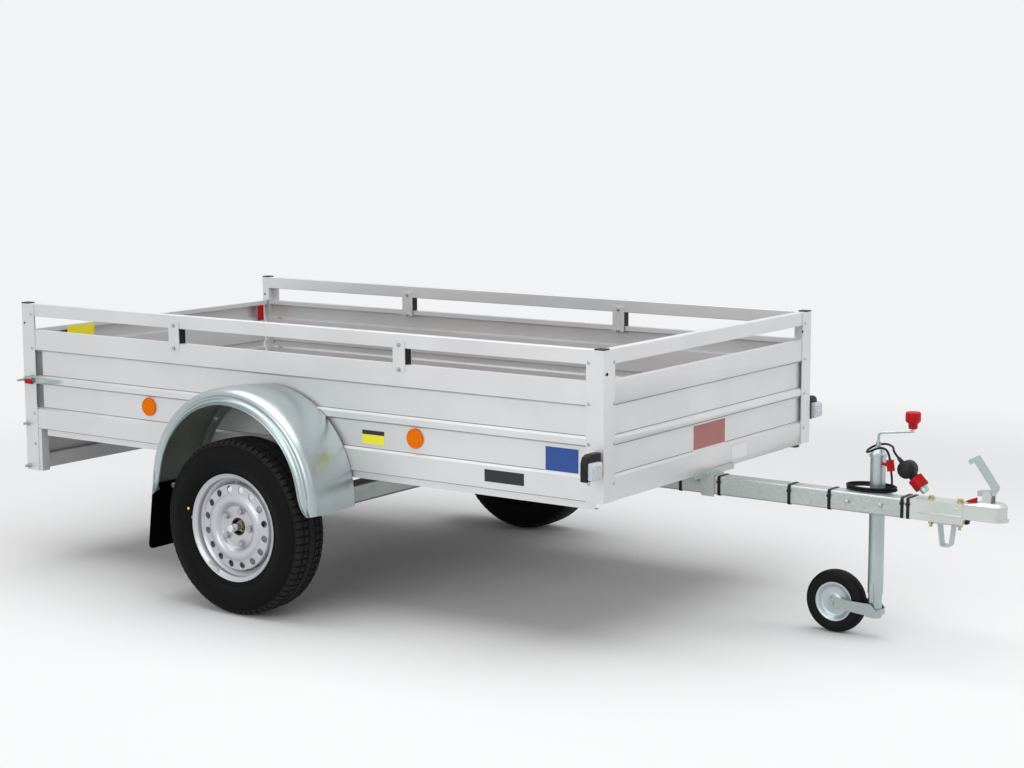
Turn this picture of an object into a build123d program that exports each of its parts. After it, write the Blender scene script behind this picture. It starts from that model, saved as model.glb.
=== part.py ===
from build123d import *
from math import atan2, cos, degrees, hypot, pi, radians, sin, tan
import os

os.makedirs("parts", exist_ok=True)

# Single-axle utility trailer: a box body with formed sheet walls, a drop-down tailgate,
# hand rails, a central drawbar with a ball coupling, a rubber-sprung axle and a jockey wheel.
# Millimetres. +X is forward (to the coupling), +Y is left, +Z is up, the ground is z = 0.
# Stations are distances forward of the rear posts' rear face.  side is -1 (right) or +1 (left).

SIDES = {"right": -1, "left": 1}

# ---------------------------------------------------------------- box body
box_length = 2507.0
box_width = 1322.0
panel_top = 840.0
rail_gap = 51.0              # open height between the walls and the hand rails
rail_height = 45.0
rail_top = panel_top + rail_gap + rail_height
rail_depth = 30.0
rail_wall = 2.0
rail_corner = 2.0
sheet = 1.5
wall_depth = 25.0
wall_flange = 16.0
band_bottom = 482.0
lower_band = 70.0
rib_bottom = 649.5
rib_height = 19.5
upper_band = 70.0
recess = 9.0
shoulder = 7.0
lip_setback = 6.0
lip_height = 22.0
lip_rear_station = 106.0
fit = 0.2                    # clearance between pieces that are bolted together

# ---------------------------------------------------------------- corner posts
post_size = 33.0
post_wall = 2.0
post_flange = 62.0
flange_thick = 3.0
post_bottom = 460.0
rear_post_bottom = 325.0
cap_thick = 4.0
post_hole_radius = 4.5
post_hole_z = panel_top + 25
post_hole_edge = 12.0
leg_reach = 16.0             # how far the rear leg stands forward of the post's flange
leg_depth = 34.0

# ---------------------------------------------------------------- rail straps
strap_spacing = 980.0
strap_width = 48.0
strap_thick = 3.0
strap_lap = 20.0             # how far a strap reaches down over the wall
strap_cover = 24.0           # the rail's height left bare above a strap
strap_stations = ((box_length - strap_spacing) / 2, (box_length + strap_spacing) / 2)

# ---------------------------------------------------------------- floor
floor_thick = 12.0
crossmember_height = 16.0
crossmember_width = 70.0
crossmember_wall = 2.0
crossmember_rear = 190.0     # station of the rear one
crossmember_front = 117.0    # from the front wall back to the front one

# ---------------------------------------------------------------- rear light beam
beam_bottom = 331.0
beam_step = 382.0
beam_top = 456.0
beam_station = 32.0
beam_shelf = 28.0
beam_wall = 2.0
lamp_length = 190.0
lamp_height = 84.0
lamp_bottom = 345.0
lamp_housing = 14.0
lamp_lens = 13.0
lamp_offset = 22.0           # from the leg to the lamp's outer end
lamp_corner = 10.0
lamp_bevel = 3.5
plate_lamp_spacing = 400.0
plate_hole_spacing = 440.0
plate_hole_radius = 2.75
plate_hole_z = 410.0

# ---------------------------------------------------------------- tailgate
gate_gap = 5.5               # clearance to the posts and above the floor
hinge_station = 16.5
hinge_z = 497.5
hinge_pin_radius = 5.0
hinge_clearance = 0.3
hinge_head_radius = 9.0
hinge_boss_radius = 11.0
hinge_boss_length = 22.0
lower_pin_z = 341.0
pin_head = 10.0
pin_tip = 14.0
latch_z = rib_bottom + rib_height / 2
latch_plate = 56.0
latch_base = 3.0
bail_length = 145.0
bail_radius = 2.5
bail_spread = 12.0

# ---------------------------------------------------------------- wheels
wheel_station = 1215.0
tyre_radius = 289.0
tyre_width = 155.0
tyre_gap = 71.0              # from the box's side to the tyre
wheel_plane = box_width / 2 + tyre_gap + tyre_width / 2
rim_width = 127.0
rim_lip_radius = 178.7
rim_seat_radius = 165.5
rim_well_radius = 147.0
rim_sheet = 3.5
rim_lip = 3.5
rim_flange = 7.5
disc_sheet = 4.0
disc_face = 30.0             # hub face, outboard of the rim's centre
disc_bore = 29.0
vent_circle = 126.5
vent_radius = 9.5
vent_count = 16
bolt_circle = 56.0
bolt_count = 5
bolt_shank = 6.0
bolt_head = 9.0
bolt_head_height = 12.0
bolt_clearance = 0.5
bead_seat_gap = 0.2

# ---------------------------------------------------------------- hub and stub axle
hub_flange_radius = 72.0
hub_flange = 10.0
hub_barrel_radius = 36.0
hub_length = 84.0
hub_bore = 25.0
stub_radius = 17.0
stub_clearance = 0.4
hub_pocket = 14.0            # depth of the hub's open mouth below its bolting face
nut_radius = 19.0
nut_thick = 12.0
nut_gap = 1.0
stub_end = 21.0

# ---------------------------------------------------------------- rubber-sprung axle
axle_trail = 135.0           # how far the wheels trail the axle beam
axle_station = wheel_station + axle_trail
axle_z = 350.0
axle_size = 66.0
axle_corner = 9.0
axle_wall = 4.0
inner_bar = 34.0             # square bar inside the beam, set corner to flat
rubber_length = 220.0
rubber_gap = 0.1
axle_inset = 26.0            # from the box's side to the beam's end
axle_length = box_width - 2 * axle_inset
arm_thick = 24.0
arm_gap = 3.0
arm_eye_radius = 30.0
hanger_spread = 560.0        # from the middle plane to each hanger
hanger_width = 60.0
hanger_length = 110.0
hanger_wall = 5.0

# ---------------------------------------------------------------- mudguards
guard_station = wheel_station - 10
guard_z = 370.0
guard_radius = 374.0
guard_crown = 6.0            # how much the guard falls towards the box
guard_overlap = 29.2         # how far the guard stands outside the tyre
guard_width = flange_thick - fit + tyre_gap + tyre_width + guard_overlap
guard_opening = 331.0
guard_sheet = 1.5
guard_inner_skirt = 36.0
guard_roll = 26.0
guard_round = 44.0           # radius of the opening's lower corners
flap_width = 205.0
flap_inset = 4.0
flap_thick = 6.0
flap_bottom = 186.0
flap_top = 408.0

# ---------------------------------------------------------------- drawbar
drawbar_size = 60.0
drawbar_wall = 3.0
drawbar_corner = 6.0
drawbar_rear = axle_station - 80
drawbar_reach = 673.0        # from the front wall to the drawbar's end
drawbar_front = box_length + drawbar_reach
drawbar_z = 438.0
saddle_station = box_length - 7
saddle_width = 46.0
saddle_wall = 4.0
saddle_top_length = 252.0
saddle_top_height = 24.0
saddle_ledge = 12.0
axle_saddle_length = 100.0

# ---------------------------------------------------------------- ball coupling
coupling_lap = 14.0          # how far the coupling lies over the drawbar's bare end
coupling_length = 327.0
coupling_rear = drawbar_front - coupling_lap
coupling_nose = coupling_rear + coupling_length
coupling_wall = 4.0
channel_length = 198.0
ball_inset = 39.0            # from the nose back to the ball's centre
ball_station = coupling_nose - ball_inset
ball_radius = 25.0
ball_clearance = 0.3
cup_radius = 29.0
cup_z = 444.0
dome_rise = 10.0             # the dome's top above the channel's
dome_bevel = 9.0
nose_lift = 18.5             # the nose's flange above the channel's lower edge
nose_flange = 6.0
lever_back = 23.0            # from the ball back to the lever's pivot
lever_pivot_station = ball_station - lever_back
lever_pivot_z = 505.0
lever_width = 32.0
lever_bar = 14.0
lever_ear = 4.0
lever_ear_radius = 13.0
lever_pin_radius = 4.0
lever_eye = 10.0
lever_line = ((-30, -5), (15, -3), (26, 14), (26, 25), (-38, 112), (-62, 99))
loop_station = drawbar_front + 123
loop_top_half = 26.0
loop_foot_half = 17.0
loop_plate = 4.0
loop_depth = 30.0
loop_bottom = 333.0
loop_bar = 5.5

# ---------------------------------------------------------------- jockey wheel
jockey_back = 132.0          # from the drawbar's end back to the jockey tube
jockey_station = drawbar_front - jockey_back
jockey_offset = 28.0         # from the drawbar's left face to the tube's axis
jockey_y = drawbar_size / 2 + jockey_offset
jockey_tube_radius = 24.0
jockey_tube_wall = 2.5
jockey_tube_top = 580.0
jockey_tube_bottom = 143.0
leg_clearance = 0.4
leg_wall = 2.5
leg_top = drawbar_z + 7         # stays below the cable coil when the leg is raised
socket_bottom = 66.0
socket_height = 28.0
socket_gap = 2.0
swivel_radius = 12.0
swivel_clearance = 0.4
castor_trail = 131.0
castor_radius = 100.0
castor_width = 50.0
castor_rim_radius = 63.0
castor_clearance = 0.5
fork_thick = 4.0
fork_gap = 6.0
fork_end = 15.0              # rounded end of a fork arm about the castor's axle
castor_axle = 7.0
leg_lug = 13.0               # width of the stop lug up the leg's right side
leg_lug_thick = 2.5
leg_lug_height = 63.0
clamp_height = 60.0
clamp_screw = 6.0
clamp_handle = 62.0
crank_hub = 16.0
tube_cone = 22.0
crank_z = 646.0
crank_reach = 112.0
crank_rise = 14.0
crank_rod = 4.0
crank_bend = 14.0
knob_radius = 23.5
knob_height = 34.0
knob_neck_radius = 12.5
knob_neck_height = 19.0
knob_round = 4.0

# ---------------------------------------------------------------- lamps and reflectors
reflector_radius = 32.0
reflector_thick = 7.0
reflector_rear = 635.0       # station of the rear reflectors
reflector_front = 709.0      # from the front wall back to the front ones
reflector_z = 608.0
marker_z = 588.0
marker_height = 62.0
marker_depth = 42.0
marker_reach = 60.0
marker_lens_length = 30.0

# ---------------------------------------------------------------- cable and plug
cable_radius = 3.5
coil_half_length = 90.0
coil_half_width = 62.0
coil_band = 22.0             # width of the ring that the turns take up
coil_height = 15.0
coil_ahead = -18.0           # the coil's centre ahead of the jockey tube
coil_inward = 6.0            # and towards the drawbar
cable_gap = 0.4              # from the cable to what it lies along
gland_ahead = -473.0         # the cowl's front end, from the jockey tube
gland_length = 30.0
gland_z = 446.0
park_foot = (56.0, -27.0, 536.0)     # parking socket's lower and upper ends, from the tube's axis
park_head = (50.0, -25.0, 570.0)
park_radius = 12.0
park_clip = 5.0
plug_at = (90.0, -54.0, 586.0)
plug_slope = 45.7            # degrees below level
plug_length = 80.0
relief_length = 26.0
plug_housing = 27.0
plug_barrel = 15.0
collar_length = 37.0
collar_radius = 24.5
core_radius = 19.0

overall_middle = coupling_nose / 2
half_width = box_width / 2
wall_plane = half_width - flange_thick
nodes = {}


def add(name, *solids):
    """Keep a node's solids, moved so that the origin is under the middle of the trailer."""
    nodes[name] = [Pos(-overall_middle, 0, 0) * solid for solid in solids]


def mirrored(solid):
    return mirror(solid, about=Plane.XZ)


def on_both_sides(solid):
    """A right-hand solid and its mirror image."""
    return solid, mirrored(solid)


def block(x0, x1, y0, y1, z0, z1):
    return Pos((x0 + x1) / 2, (y0 + y1) / 2, (z0 + z1) / 2) * Box(x1 - x0, y1 - y0, z1 - z0)


def strip(points, thickness):
    """Closed outline of a sheet whose one face follows points; the sheet lies to their left."""
    inner = []
    for i, (px, py) in enumerate(points):
        normals = []
        for j in (i - 1, i):
            if 0 <= j < len(points) - 1:
                dx = points[j + 1][0] - points[j][0]
                dy = points[j + 1][1] - points[j][1]
                length = hypot(dx, dy)
                normals.append((-dy / length, dx / length))
        nx = sum(n[0] for n in normals)
        ny = sum(n[1] for n in normals)
        scale = thickness * len(normals) / (nx * nx + ny * ny)
        inner.append((px + nx * scale, py + ny * scale))
    return list(points) + inner[::-1]


def face_of(points, plane=Plane.XY):
    return plane * make_face(Polyline(*points, close=True))


def wall_outline(bottom):
    """(depth, height) points up the outer face of a formed wall, from its lower edge."""
    top_band = panel_top - upper_band
    low_band = band_bottom + lower_band
    rib_top = rib_bottom + rib_height
    rows = [
        (0, bottom), (0, low_band), (recess, low_band + shoulder),
        (recess, rib_bottom - shoulder), (0, rib_bottom), (0, rib_top),
        (recess, rib_top + shoulder), (recess, top_band - shoulder), (0, top_band),
        (0, panel_top), (wall_depth, panel_top), (wall_depth, panel_top - wall_flange),
    ]
    return rows


def wall(length, bottom=band_bottom):
    """A formed wall along X from 0 to length, outer face at y = 0 and its depth along +Y."""
    outline = strip(wall_outline(bottom)[::-1], sheet)
    return extrude(face_of(outline, Plane.YZ), length)


def square_tube(length, width, height, thickness, corner):
    """A tube along +X, centred on the axis."""
    outer = extrude(Plane.YZ * RectangleRounded(width, height, corner), length)
    inner = Plane.YZ * RectangleRounded(width - 2 * thickness, height - 2 * thickness,
                                        max(corner - thickness, 0.5))
    return outer - extrude(inner, length)


def rod(start, end, radius):
    """A round bar from one point to another."""
    run = Vector(*end) - Vector(*start)
    return extrude(Plane(origin=start, z_dir=run) * Circle(radius), run.length)


# ================================================================ box body
def make_side_panel():
    """Right wall: formed sheet behind the posts' flanges, with a set-back lip below."""
    rear = post_size + fit
    length = box_length - 2 * rear
    panel = Pos(rear, -wall_plane, 0) * wall(length)
    lip_bottom = band_bottom - lip_height
    lip_outline = strip([(wall_depth, lip_bottom), (lip_setback, lip_bottom),
                         (lip_setback, band_bottom), (0, band_bottom)], sheet)
    lip_length = box_length - rear - lip_rear_station
    lip = extrude(face_of(lip_outline, Plane.YZ), lip_length)
    return panel + Pos(lip_rear_station, -wall_plane, 0) * lip


def make_front_panel():
    width = box_width - 2 * (post_size + fit)
    panel = wall(width)
    ledge_z = band_bottom - lip_height
    lip = strip([(wall_depth, ledge_z), (lip_setback, ledge_z),
                 (lip_setback, band_bottom), (0, band_bottom)], sheet)
    panel = panel + extrude(face_of(lip, Plane.YZ), width)
    panel = Pos(box_length - flange_thick, -width / 2, 0) * Rot(0, 0, 90) * panel
    notch_half = drawbar_size / 2 + saddle_wall + 2 * fit
    notch_top = drawbar_z + drawbar_size / 2 + saddle_wall + 2 * fit
    notch = block(box_length - post_size, box_length, -notch_half, notch_half, ledge_z - 2 * sheet, notch_top)
    return panel - notch


def make_post(bottom, front):
    """Right post: square tube at the corner with flanges lying over the walls' ends."""
    height = rail_top - fit - bottom
    tube = Pos(post_size / 2, post_size / 2, 0) * extrude(
        Rectangle(post_size, post_size) - Rectangle(post_size - 2 * post_wall, post_size - 2 * post_wall),
        height)
    side_flange = block(post_size, post_flange, 0, flange_thick, 0, height)
    post = tube + side_flange
    if front:
        post = post + block(0, flange_thick, post_size, post_flange, 0, height)
    hole_z = post_hole_z - bottom
    hole = Pos(post_hole_edge, post_size / 2, hole_z) * Rot(90, 0, 0) * Cylinder(
        post_hole_radius, 2 * post_size)
    post = post - hole
    if front:
        cross = Pos(post_size / 2, post_hole_edge, hole_z) * Rot(0, 90, 0) * Cylinder(
            post_hole_radius, 2 * post_size)
        post = post - cross
    post = Pos(0, -half_width, bottom) * post
    if front:
        post = Pos(box_length, 0, 0) * mirror(post, about=Plane.YZ)
    return post


def make_rear_leg():
    """Channel under the rear corner, forward of the post, that carries the light beam."""
    outer = -wall_plane + fit
    x0 = post_size + fit
    x1 = post_flange + leg_reach
    z1 = band_bottom - fit
    leg = block(x0, x1, outer, outer + leg_depth, rear_post_bottom, z1)
    hollow = block(x0 + 3, x1 - 3, outer + 3, outer + leg_depth, rear_post_bottom, z1)
    return leg - hollow


def make_cap(front):
    cap = block(0, post_size, -half_width, -half_width + post_size, rail_top - fit,
                rail_top - fit + cap_thick)
    cap = chamfer(cap.edges().group_by(Axis.Z)[-1], 1.2)
    if front:
        cap = Pos(box_length - post_size, 0, 0) * cap
    return cap


def make_side_rail():
    x0 = post_size + fit
    length = box_length - 2 * x0
    tube = square_tube(length, rail_depth, rail_height, rail_wall, rail_corner)
    return Pos(x0, -wall_plane + rail_depth / 2, rail_top - rail_height / 2) * tube


def make_front_rail():
    width = box_width - 2 * (post_size + fit)
    tube = Rot(0, 0, 90) * square_tube(width, rail_depth, rail_height, rail_wall, rail_corner)
    return Pos(box_length - flange_thick - rail_depth / 2, -width / 2, rail_top - rail_height / 2) * tube


def make_strap_set():
    """Straps outside and inside the right rail, and the spacer blocks between them."""
    straps = []
    blocks = []
    inner = -wall_plane + rail_depth
    z0 = panel_top - strap_lap
    z1 = rail_top - strap_cover
    for station in strap_stations:
        x0 = station - strap_width / 2
        x1 = station + strap_width / 2
        straps.append(block(x0, x1, -half_width, -wall_plane, z0, z1))
        straps.append(block(x0, x1, inner, inner + strap_thick, z0, z1))
        blocks.append(block(x0 + 1, x1 - 1, -wall_plane, inner, panel_top, rail_top - rail_height))
    return straps, blocks


def make_floor():
    edge = wall_plane - sheet - fit
    rear = hinge_station + hinge_boss_radius + 2 * gate_gap
    floor = block(rear, box_length - flange_thick - sheet - fit, -edge, edge, floor_bottom,
                  floor_bottom + floor_thick)
    for side in SIDES.values():
        for x0, x1 in ((0, post_size + fit), (box_length - post_size - fit, box_length)):
            corner = block(x0, x1, half_width - post_size - fit, half_width, 0, rail_top)
            floor = floor - (corner if side > 0 else mirrored(corner))
    return floor


def make_crossmembers():
    """Shallow channels, open downward, between the side walls' lips; the middle one is over the axle."""
    members = []
    edge = wall_plane - lip_setback - sheet - fit
    front = box_length - crossmember_front
    stations = (crossmember_rear, (crossmember_rear + axle_station) / 2, axle_station,
                (axle_station + front) / 2, front)
    for station in stations:
        x0 = station - crossmember_width / 2
        x1 = station + crossmember_width / 2
        outer = block(x0, x1, -edge, edge, floor_bottom - crossmember_height, floor_bottom)
        inner = block(x0 + crossmember_wall, x1 - crossmember_wall, -edge, edge,
                      floor_bottom - crossmember_height, floor_bottom - crossmember_wall)
        members.append(outer - inner)
    return members


floor_bottom = band_bottom + sheet + 0.5

side_panel = make_side_panel()
add("side_panel_right", side_panel)
add("side_panel_left", mirrored(side_panel))
add("front_panel", make_front_panel())
add("front_posts", *on_both_sides(make_post(post_bottom, True)))
add("rear_posts", *on_both_sides(make_post(rear_post_bottom, False)))
add("rear_legs", *on_both_sides(make_rear_leg()))
add("post_caps", *on_both_sides(make_cap(False)), *on_both_sides(make_cap(True)))
add("side_rails", *on_both_sides(make_side_rail()))
add("front_rail", make_front_rail())
straps, blocks = make_strap_set()
add("rail_straps", *straps, *[mirrored(s) for s in straps])
add("strap_blocks", *blocks, *[mirrored(b) for b in blocks])
add("floor_panel", make_floor())
add("crossmembers", *make_crossmembers())


# ================================================================ rear light beam
beam_half = wall_plane - leg_depth - 2 * fit


def make_light_beam():
    """Folded strip between the rear legs: an upright web with a boxed lower edge."""
    x0 = beam_station
    web = block(x0, x0 + beam_wall, -beam_half, beam_half, beam_bottom, beam_top)
    shelf = block(x0, x0 + beam_shelf, -beam_half, beam_half, beam_step - beam_wall, beam_step)
    face = block(x0 + beam_shelf - beam_wall, x0 + beam_shelf, -beam_half, beam_half,
                 beam_bottom, beam_step)
    beam = web + shelf + face
    for side in SIDES.values():
        hole = Pos(x0, side * plate_hole_spacing / 2, plate_hole_z) * Rot(0, 90, 0) * Cylinder(
            plate_hole_radius, 4 * beam_wall)
        beam = beam - hole
    return beam


def make_tail_lamp():
    """Right lamp: housing against the beam's web and a lens flush with the posts' rear face."""
    y0 = -beam_half + lamp_offset
    middle = y0 + lamp_length / 2
    centre_z = lamp_bottom + lamp_height / 2
    shape = Plane(origin=(beam_station, middle, centre_z), x_dir=(0, 1, 0), z_dir=(-1, 0, 0))
    housing = extrude(shape * RectangleRounded(lamp_length, lamp_height, lamp_corner), lamp_housing)
    outer = Plane(origin=(beam_station - lamp_housing, middle, centre_z), x_dir=(0, 1, 0), z_dir=(-1, 0, 0))
    lens = extrude(outer * RectangleRounded(lamp_length - 6, lamp_height - 6, lamp_corner - 2), lamp_lens)
    lens = chamfer(lens.faces().sort_by(Axis.X)[0].edges(), lamp_bevel)
    return housing, lens


def make_plate_lamp():
    """Number-plate lamp: a small hooded block on the beam's web."""
    y = -plate_lamp_spacing / 2
    body = block(beam_station - 24, beam_station, y - 30, y + 30, beam_top - 34, beam_top - 8)
    return chamfer(body.edges().filter_by(Axis.Y).sort_by(Axis.X)[:2], 6.0)


add("light_beam", make_light_beam())
housing, lens = make_tail_lamp()
add("tail_lamp_housings", *on_both_sides(housing))
add("tail_lamp_lenses", *on_both_sides(lens))
add("plate_lamps", *on_both_sides(make_plate_lamp()))


# ================================================================ tailgate
gate_half = half_width - post_size - gate_gap


def make_gate():
    """Drop-down rear wall with the same formed face, bored for its two hinge pins."""
    bottom = band_bottom + 2.0
    panel = Rot(0, 0, -90) * wall(2 * gate_half, bottom)
    panel = Pos(flange_thick, gate_half, 0) * panel
    ends = []
    for side in SIDES.values():
        y0 = side * gate_half
        y1 = side * (gate_half - hinge_boss_length)
        boss = block(flange_thick + sheet, hinge_station + hinge_boss_radius, min(y0, y1), max(y0, y1),
                     hinge_z - hinge_boss_radius, hinge_z + hinge_boss_radius)
        ends.append(boss)
    gate = panel
    for boss in ends:
        gate = gate + boss
    bore = Pos(hinge_station, 0, hinge_z) * Rot(90, 0, 0) * Cylinder(
        hinge_pin_radius + hinge_clearance, 2 * half_width)
    return gate - bore


def make_hinge_pin(z, inner):
    """Right shouldered pin through the post: its hexagon head outside, its end inside at y = inner."""
    y = -half_width
    outward = Plane(origin=(hinge_station, y, z), x_dir=(1, 0, 0), z_dir=(0, -1, 0))
    head = extrude(outward * RegularPolygon(hinge_head_radius, 6), pin_head)
    tip = extrude(outward * Circle(hinge_pin_radius), pin_head + pin_tip)
    shank = rod((hinge_station, y, z), (hinge_station, inner, z), hinge_pin_radius)
    return head + tip + shank


def make_latch():
    """Over-centre latch on the right post's outer face: base, catch, draw bolt and wire bail."""
    y = -half_width
    low = latch_z - latch_plate / 5
    high = latch_z + latch_plate / 5
    base = block(4, 4 + latch_plate, y - latch_base, y, low, high)
    catch = block(8, 50, y - 12, y - latch_base, latch_z - 8, latch_z + 8)
    bolt = rod((14, y - 10, latch_z), (14, y - 44, latch_z), 4.0)
    latch = base + catch + bolt
    tip = (44 + bail_length, y - 8, latch_z)
    for spread in (-bail_spread, bail_spread):
        start = (44, y - 8, latch_z + spread)
        latch = latch + rod(start, tip, bail_radius)
        latch = latch + block(38, 50, y - 12, y - latch_base, latch_z + spread - 4, latch_z + spread + 4)
    return latch


hinge_pin = make_hinge_pin(hinge_z, -gate_half + hinge_boss_length)
lower_pin = make_hinge_pin(lower_pin_z, -half_width + post_size)
post_bore = Pos(hinge_station - overall_middle, 0, 0) * Rot(90, 0, 0) * Cylinder(
    hinge_pin_radius + 0.05, 3 * half_width)
nodes["rear_posts"] = [post - Pos(0, 0, hinge_z) * post_bore - Pos(0, 0, lower_pin_z) * post_bore
                       for post in nodes["rear_posts"]]
add("hinge_pins", *on_both_sides(hinge_pin), *on_both_sides(lower_pin))
add("gate_latches", *on_both_sides(make_latch()))
add("tailgate", make_gate())


# ================================================================ wheels
def wheel_frame(side):
    """Places a solid modelled about +Z (outboard) at a road wheel's centre."""
    centre = (wheel_station, side * wheel_plane, tyre_radius)
    return Plane(origin=centre, x_dir=(1, 0, 0), z_dir=(0, side, 0)).location


def turned(points):
    """Solid of revolution about Z from (radius, height) points."""
    return revolve(make_face(Polyline(*[(r, 0, z) for r, z in points], close=True)), Axis.Z)


def make_rim():
    """Pressed steel wheel: drop-centre barrel, dished disc with a ring of vents, bolt holes."""
    half = rim_width / 2
    barrel = [
        (rim_lip_radius, -half), (rim_lip_radius, -half + rim_lip),
        (rim_seat_radius, -half + rim_lip + rim_flange),
        (rim_seat_radius - 1, -half + 28), (rim_well_radius, -half + 44), (rim_well_radius, half - 40),
        (rim_seat_radius - 1, half - 28), (rim_seat_radius, half - rim_lip - rim_flange),
        (rim_lip_radius, half - rim_lip), (rim_lip_radius, half),
    ]
    flange_radius = rim_well_radius - rim_sheet - disc_sheet
    disc = [
        (disc_bore, disc_face), (bolt_circle + 20, disc_face), (96, disc_face + 18), (107, disc_face + 20),
        (vent_circle - vent_radius - 2, disc_face + 15), (flange_radius, disc_face + 15),
        (flange_radius, disc_face - 22),
    ]
    vents = Sketch() + PolarLocations(
        vent_circle, vent_count, start_angle=180 / vent_count) * Circle(vent_radius)
    bolt_holes = Sketch() + PolarLocations(bolt_circle, bolt_count) * Circle(bolt_shank + bolt_clearance)
    disc_solid = turned(strip(disc, disc_sheet)) - extrude(vents, 80) - extrude(bolt_holes, 80)
    return turned(strip(barrel, rim_sheet)) + disc_solid


def make_tyre():
    """Road tyre carcass, seated on the rim's bead seats and open inside."""
    half = tyre_width / 2
    seat = rim_seat_radius + bead_seat_gap
    lip = rim_lip_radius + bead_seat_gap
    bead = rim_width / 2 - bead_seat_gap
    outer = [(seat, bead - 21), (seat, bead - rim_lip - rim_flange), (lip, bead - rim_lip), (lip + 43, half),
             (tyre_radius - 20, half - 6), (tyre_radius - 2, half - 26)]
    inner = [(tyre_radius - 18, half - 19)]
    lower = [(radius, -height) for radius, height in reversed(outer)]
    cavity = [(radius, -height) for radius, height in inner] + inner
    return turned(outer + lower + cavity)


def hexagon(radius, height):
    return extrude(RegularPolygon(radius, 6), height)


def make_hub():
    """Unbraked hub: barrel, bolt flange and the five wheel bolts in it."""
    inner = disc_face - hub_length
    bore = stub_radius + stub_clearance
    hub = turned([
        (bore, inner), (hub_barrel_radius, inner), (hub_barrel_radius, disc_face - hub_flange - 8),
        (hub_barrel_radius + 8, disc_face - hub_flange), (hub_flange_radius, disc_face - hub_flange),
        (hub_flange_radius, disc_face - 0.1), (disc_bore - 0.5, disc_face - 0.1),
        (disc_bore - 0.5, disc_face + 4), (hub_bore, disc_face + 4), (hub_bore, disc_face - hub_pocket),
        (bore, disc_face - hub_pocket),
    ])
    for i in range(bolt_count):
        shank = Pos(bolt_circle, 0, disc_face - 2) * extrude(Circle(bolt_shank), disc_sheet + 4)
        head = Pos(bolt_circle, 0, disc_face + disc_sheet + 0.1) * hexagon(bolt_head, bolt_head_height)
        hub = hub + Rot(0, 0, 360 * i / bolt_count) * (shank + head)
    return hub


rim = make_rim()
tyre = make_tyre()
hub = make_hub()
for name, side in SIDES.items():
    place = wheel_frame(side)
    add("rim_" + name, place * rim)
    add("tyre_" + name, place * tyre)
    add("hub_" + name, place * hub)


# ================================================================ rubber-sprung axle
nut_seat = wheel_plane + disc_face - hub_pocket + nut_gap


def make_axle_beam():
    half = axle_length / 2
    tube = Rot(0, 0, 90) * square_tube(axle_length, axle_size, axle_size, axle_wall, axle_corner)
    return Pos(axle_station, -half, axle_z) * tube


def make_swing_arm():
    """Right trailing arm with its stub axle; it swings in the axle beam's rubber."""
    y0 = -axle_length / 2 - arm_gap
    y1 = y0 - arm_thick
    dx = axle_station - wheel_station
    dz = axle_z - tyre_radius
    reach = hypot(dx, dz)
    tilt = degrees(atan2(-dz, -dx))
    plane = Plane(origin=(axle_station, y0, axle_z), x_dir=(1, 0, 0), z_dir=(0, -1, 0))
    big = plane * Circle(arm_eye_radius)
    arm = extrude(big, arm_thick)
    small = Plane(origin=(wheel_station, y0, tyre_radius), x_dir=(1, 0, 0), z_dir=(0, -1, 0))
    arm = arm + extrude(small * Circle(arm_eye_radius - 4), arm_thick)
    web = Plane(origin=((axle_station + wheel_station) / 2, y0, (axle_z + tyre_radius) / 2),
                x_dir=(dx, 0, dz), z_dir=(0, -1, 0))
    arm = arm + extrude(web * Rectangle(reach, 2 * arm_eye_radius - 16), arm_thick)
    bar = Plane(origin=(axle_station, y0, axle_z), x_dir=(1, 0, 1), z_dir=(0, 1, 0))
    shaft = extrude(bar * Rectangle(inner_bar, inner_bar), arm_gap + rubber_length)
    stub_y = -nut_seat
    stub = rod((wheel_station, y1, tyre_radius), (wheel_station, stub_y, tyre_radius), stub_radius)
    thread = rod((wheel_station, stub_y, tyre_radius), (wheel_station, stub_y - nut_thick - stub_end, tyre_radius),
                 stub_radius - 5)
    return arm + shaft + stub + thread


def make_axle_nut():
    """Right flange nut on the stub axle's end."""
    plane = Plane(origin=(wheel_station, -nut_seat, tyre_radius), x_dir=(1, 0, 0), z_dir=(0, -1, 0))
    nut = extrude(plane * RegularPolygon(nut_radius - 3, 6), nut_thick) + extrude(plane * Circle(nut_radius), 2.5)
    return nut - extrude(plane * Circle(stub_radius - 5 + 0.05), 20)


def make_rubbers():
    """Right set of four rubber cords, squeezed between the beam's corners and the inner bar."""
    inside = axle_size / 2 - axle_wall
    radius = (inside * 2 ** 0.5 - inner_bar / 2) / (1 + 2 ** 0.5)
    offset = inside - radius
    y0 = -axle_length / 2 + 1.0
    cords = []
    for sx in (-1, 1):
        for sz in (-1, 1):
            start = (axle_station + sx * offset, y0, axle_z + sz * offset)
            end = (axle_station + sx * offset, y0 + rubber_length, axle_z + sz * offset)
            cords.append(rod(start, end, radius - rubber_gap))
    return cords


def make_hanger():
    """Right hanger: an open box between the axle beam and the floor's crossmember."""
    y = -hanger_spread
    z0 = axle_z + axle_size / 2
    z1 = floor_bottom - crossmember_height
    x0 = axle_station - hanger_length / 2
    outer = block(x0, x0 + hanger_length, y - hanger_width / 2, y + hanger_width / 2, z0, z1)
    inner = block(x0, x0 + hanger_length, y - hanger_width / 2 + hanger_wall,
                  y + hanger_width / 2 - hanger_wall, z0 + hanger_wall, z1 - hanger_wall)
    return outer - inner


add("axle_beam", make_axle_beam())
add("swing_arms", *on_both_sides(make_swing_arm()))
add("axle_nuts", *on_both_sides(make_axle_nut()))
rubbers = make_rubbers()
add("axle_rubbers", *rubbers, *[mirrored(r) for r in rubbers])
add("axle_hangers", *on_both_sides(make_hanger()))


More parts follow.
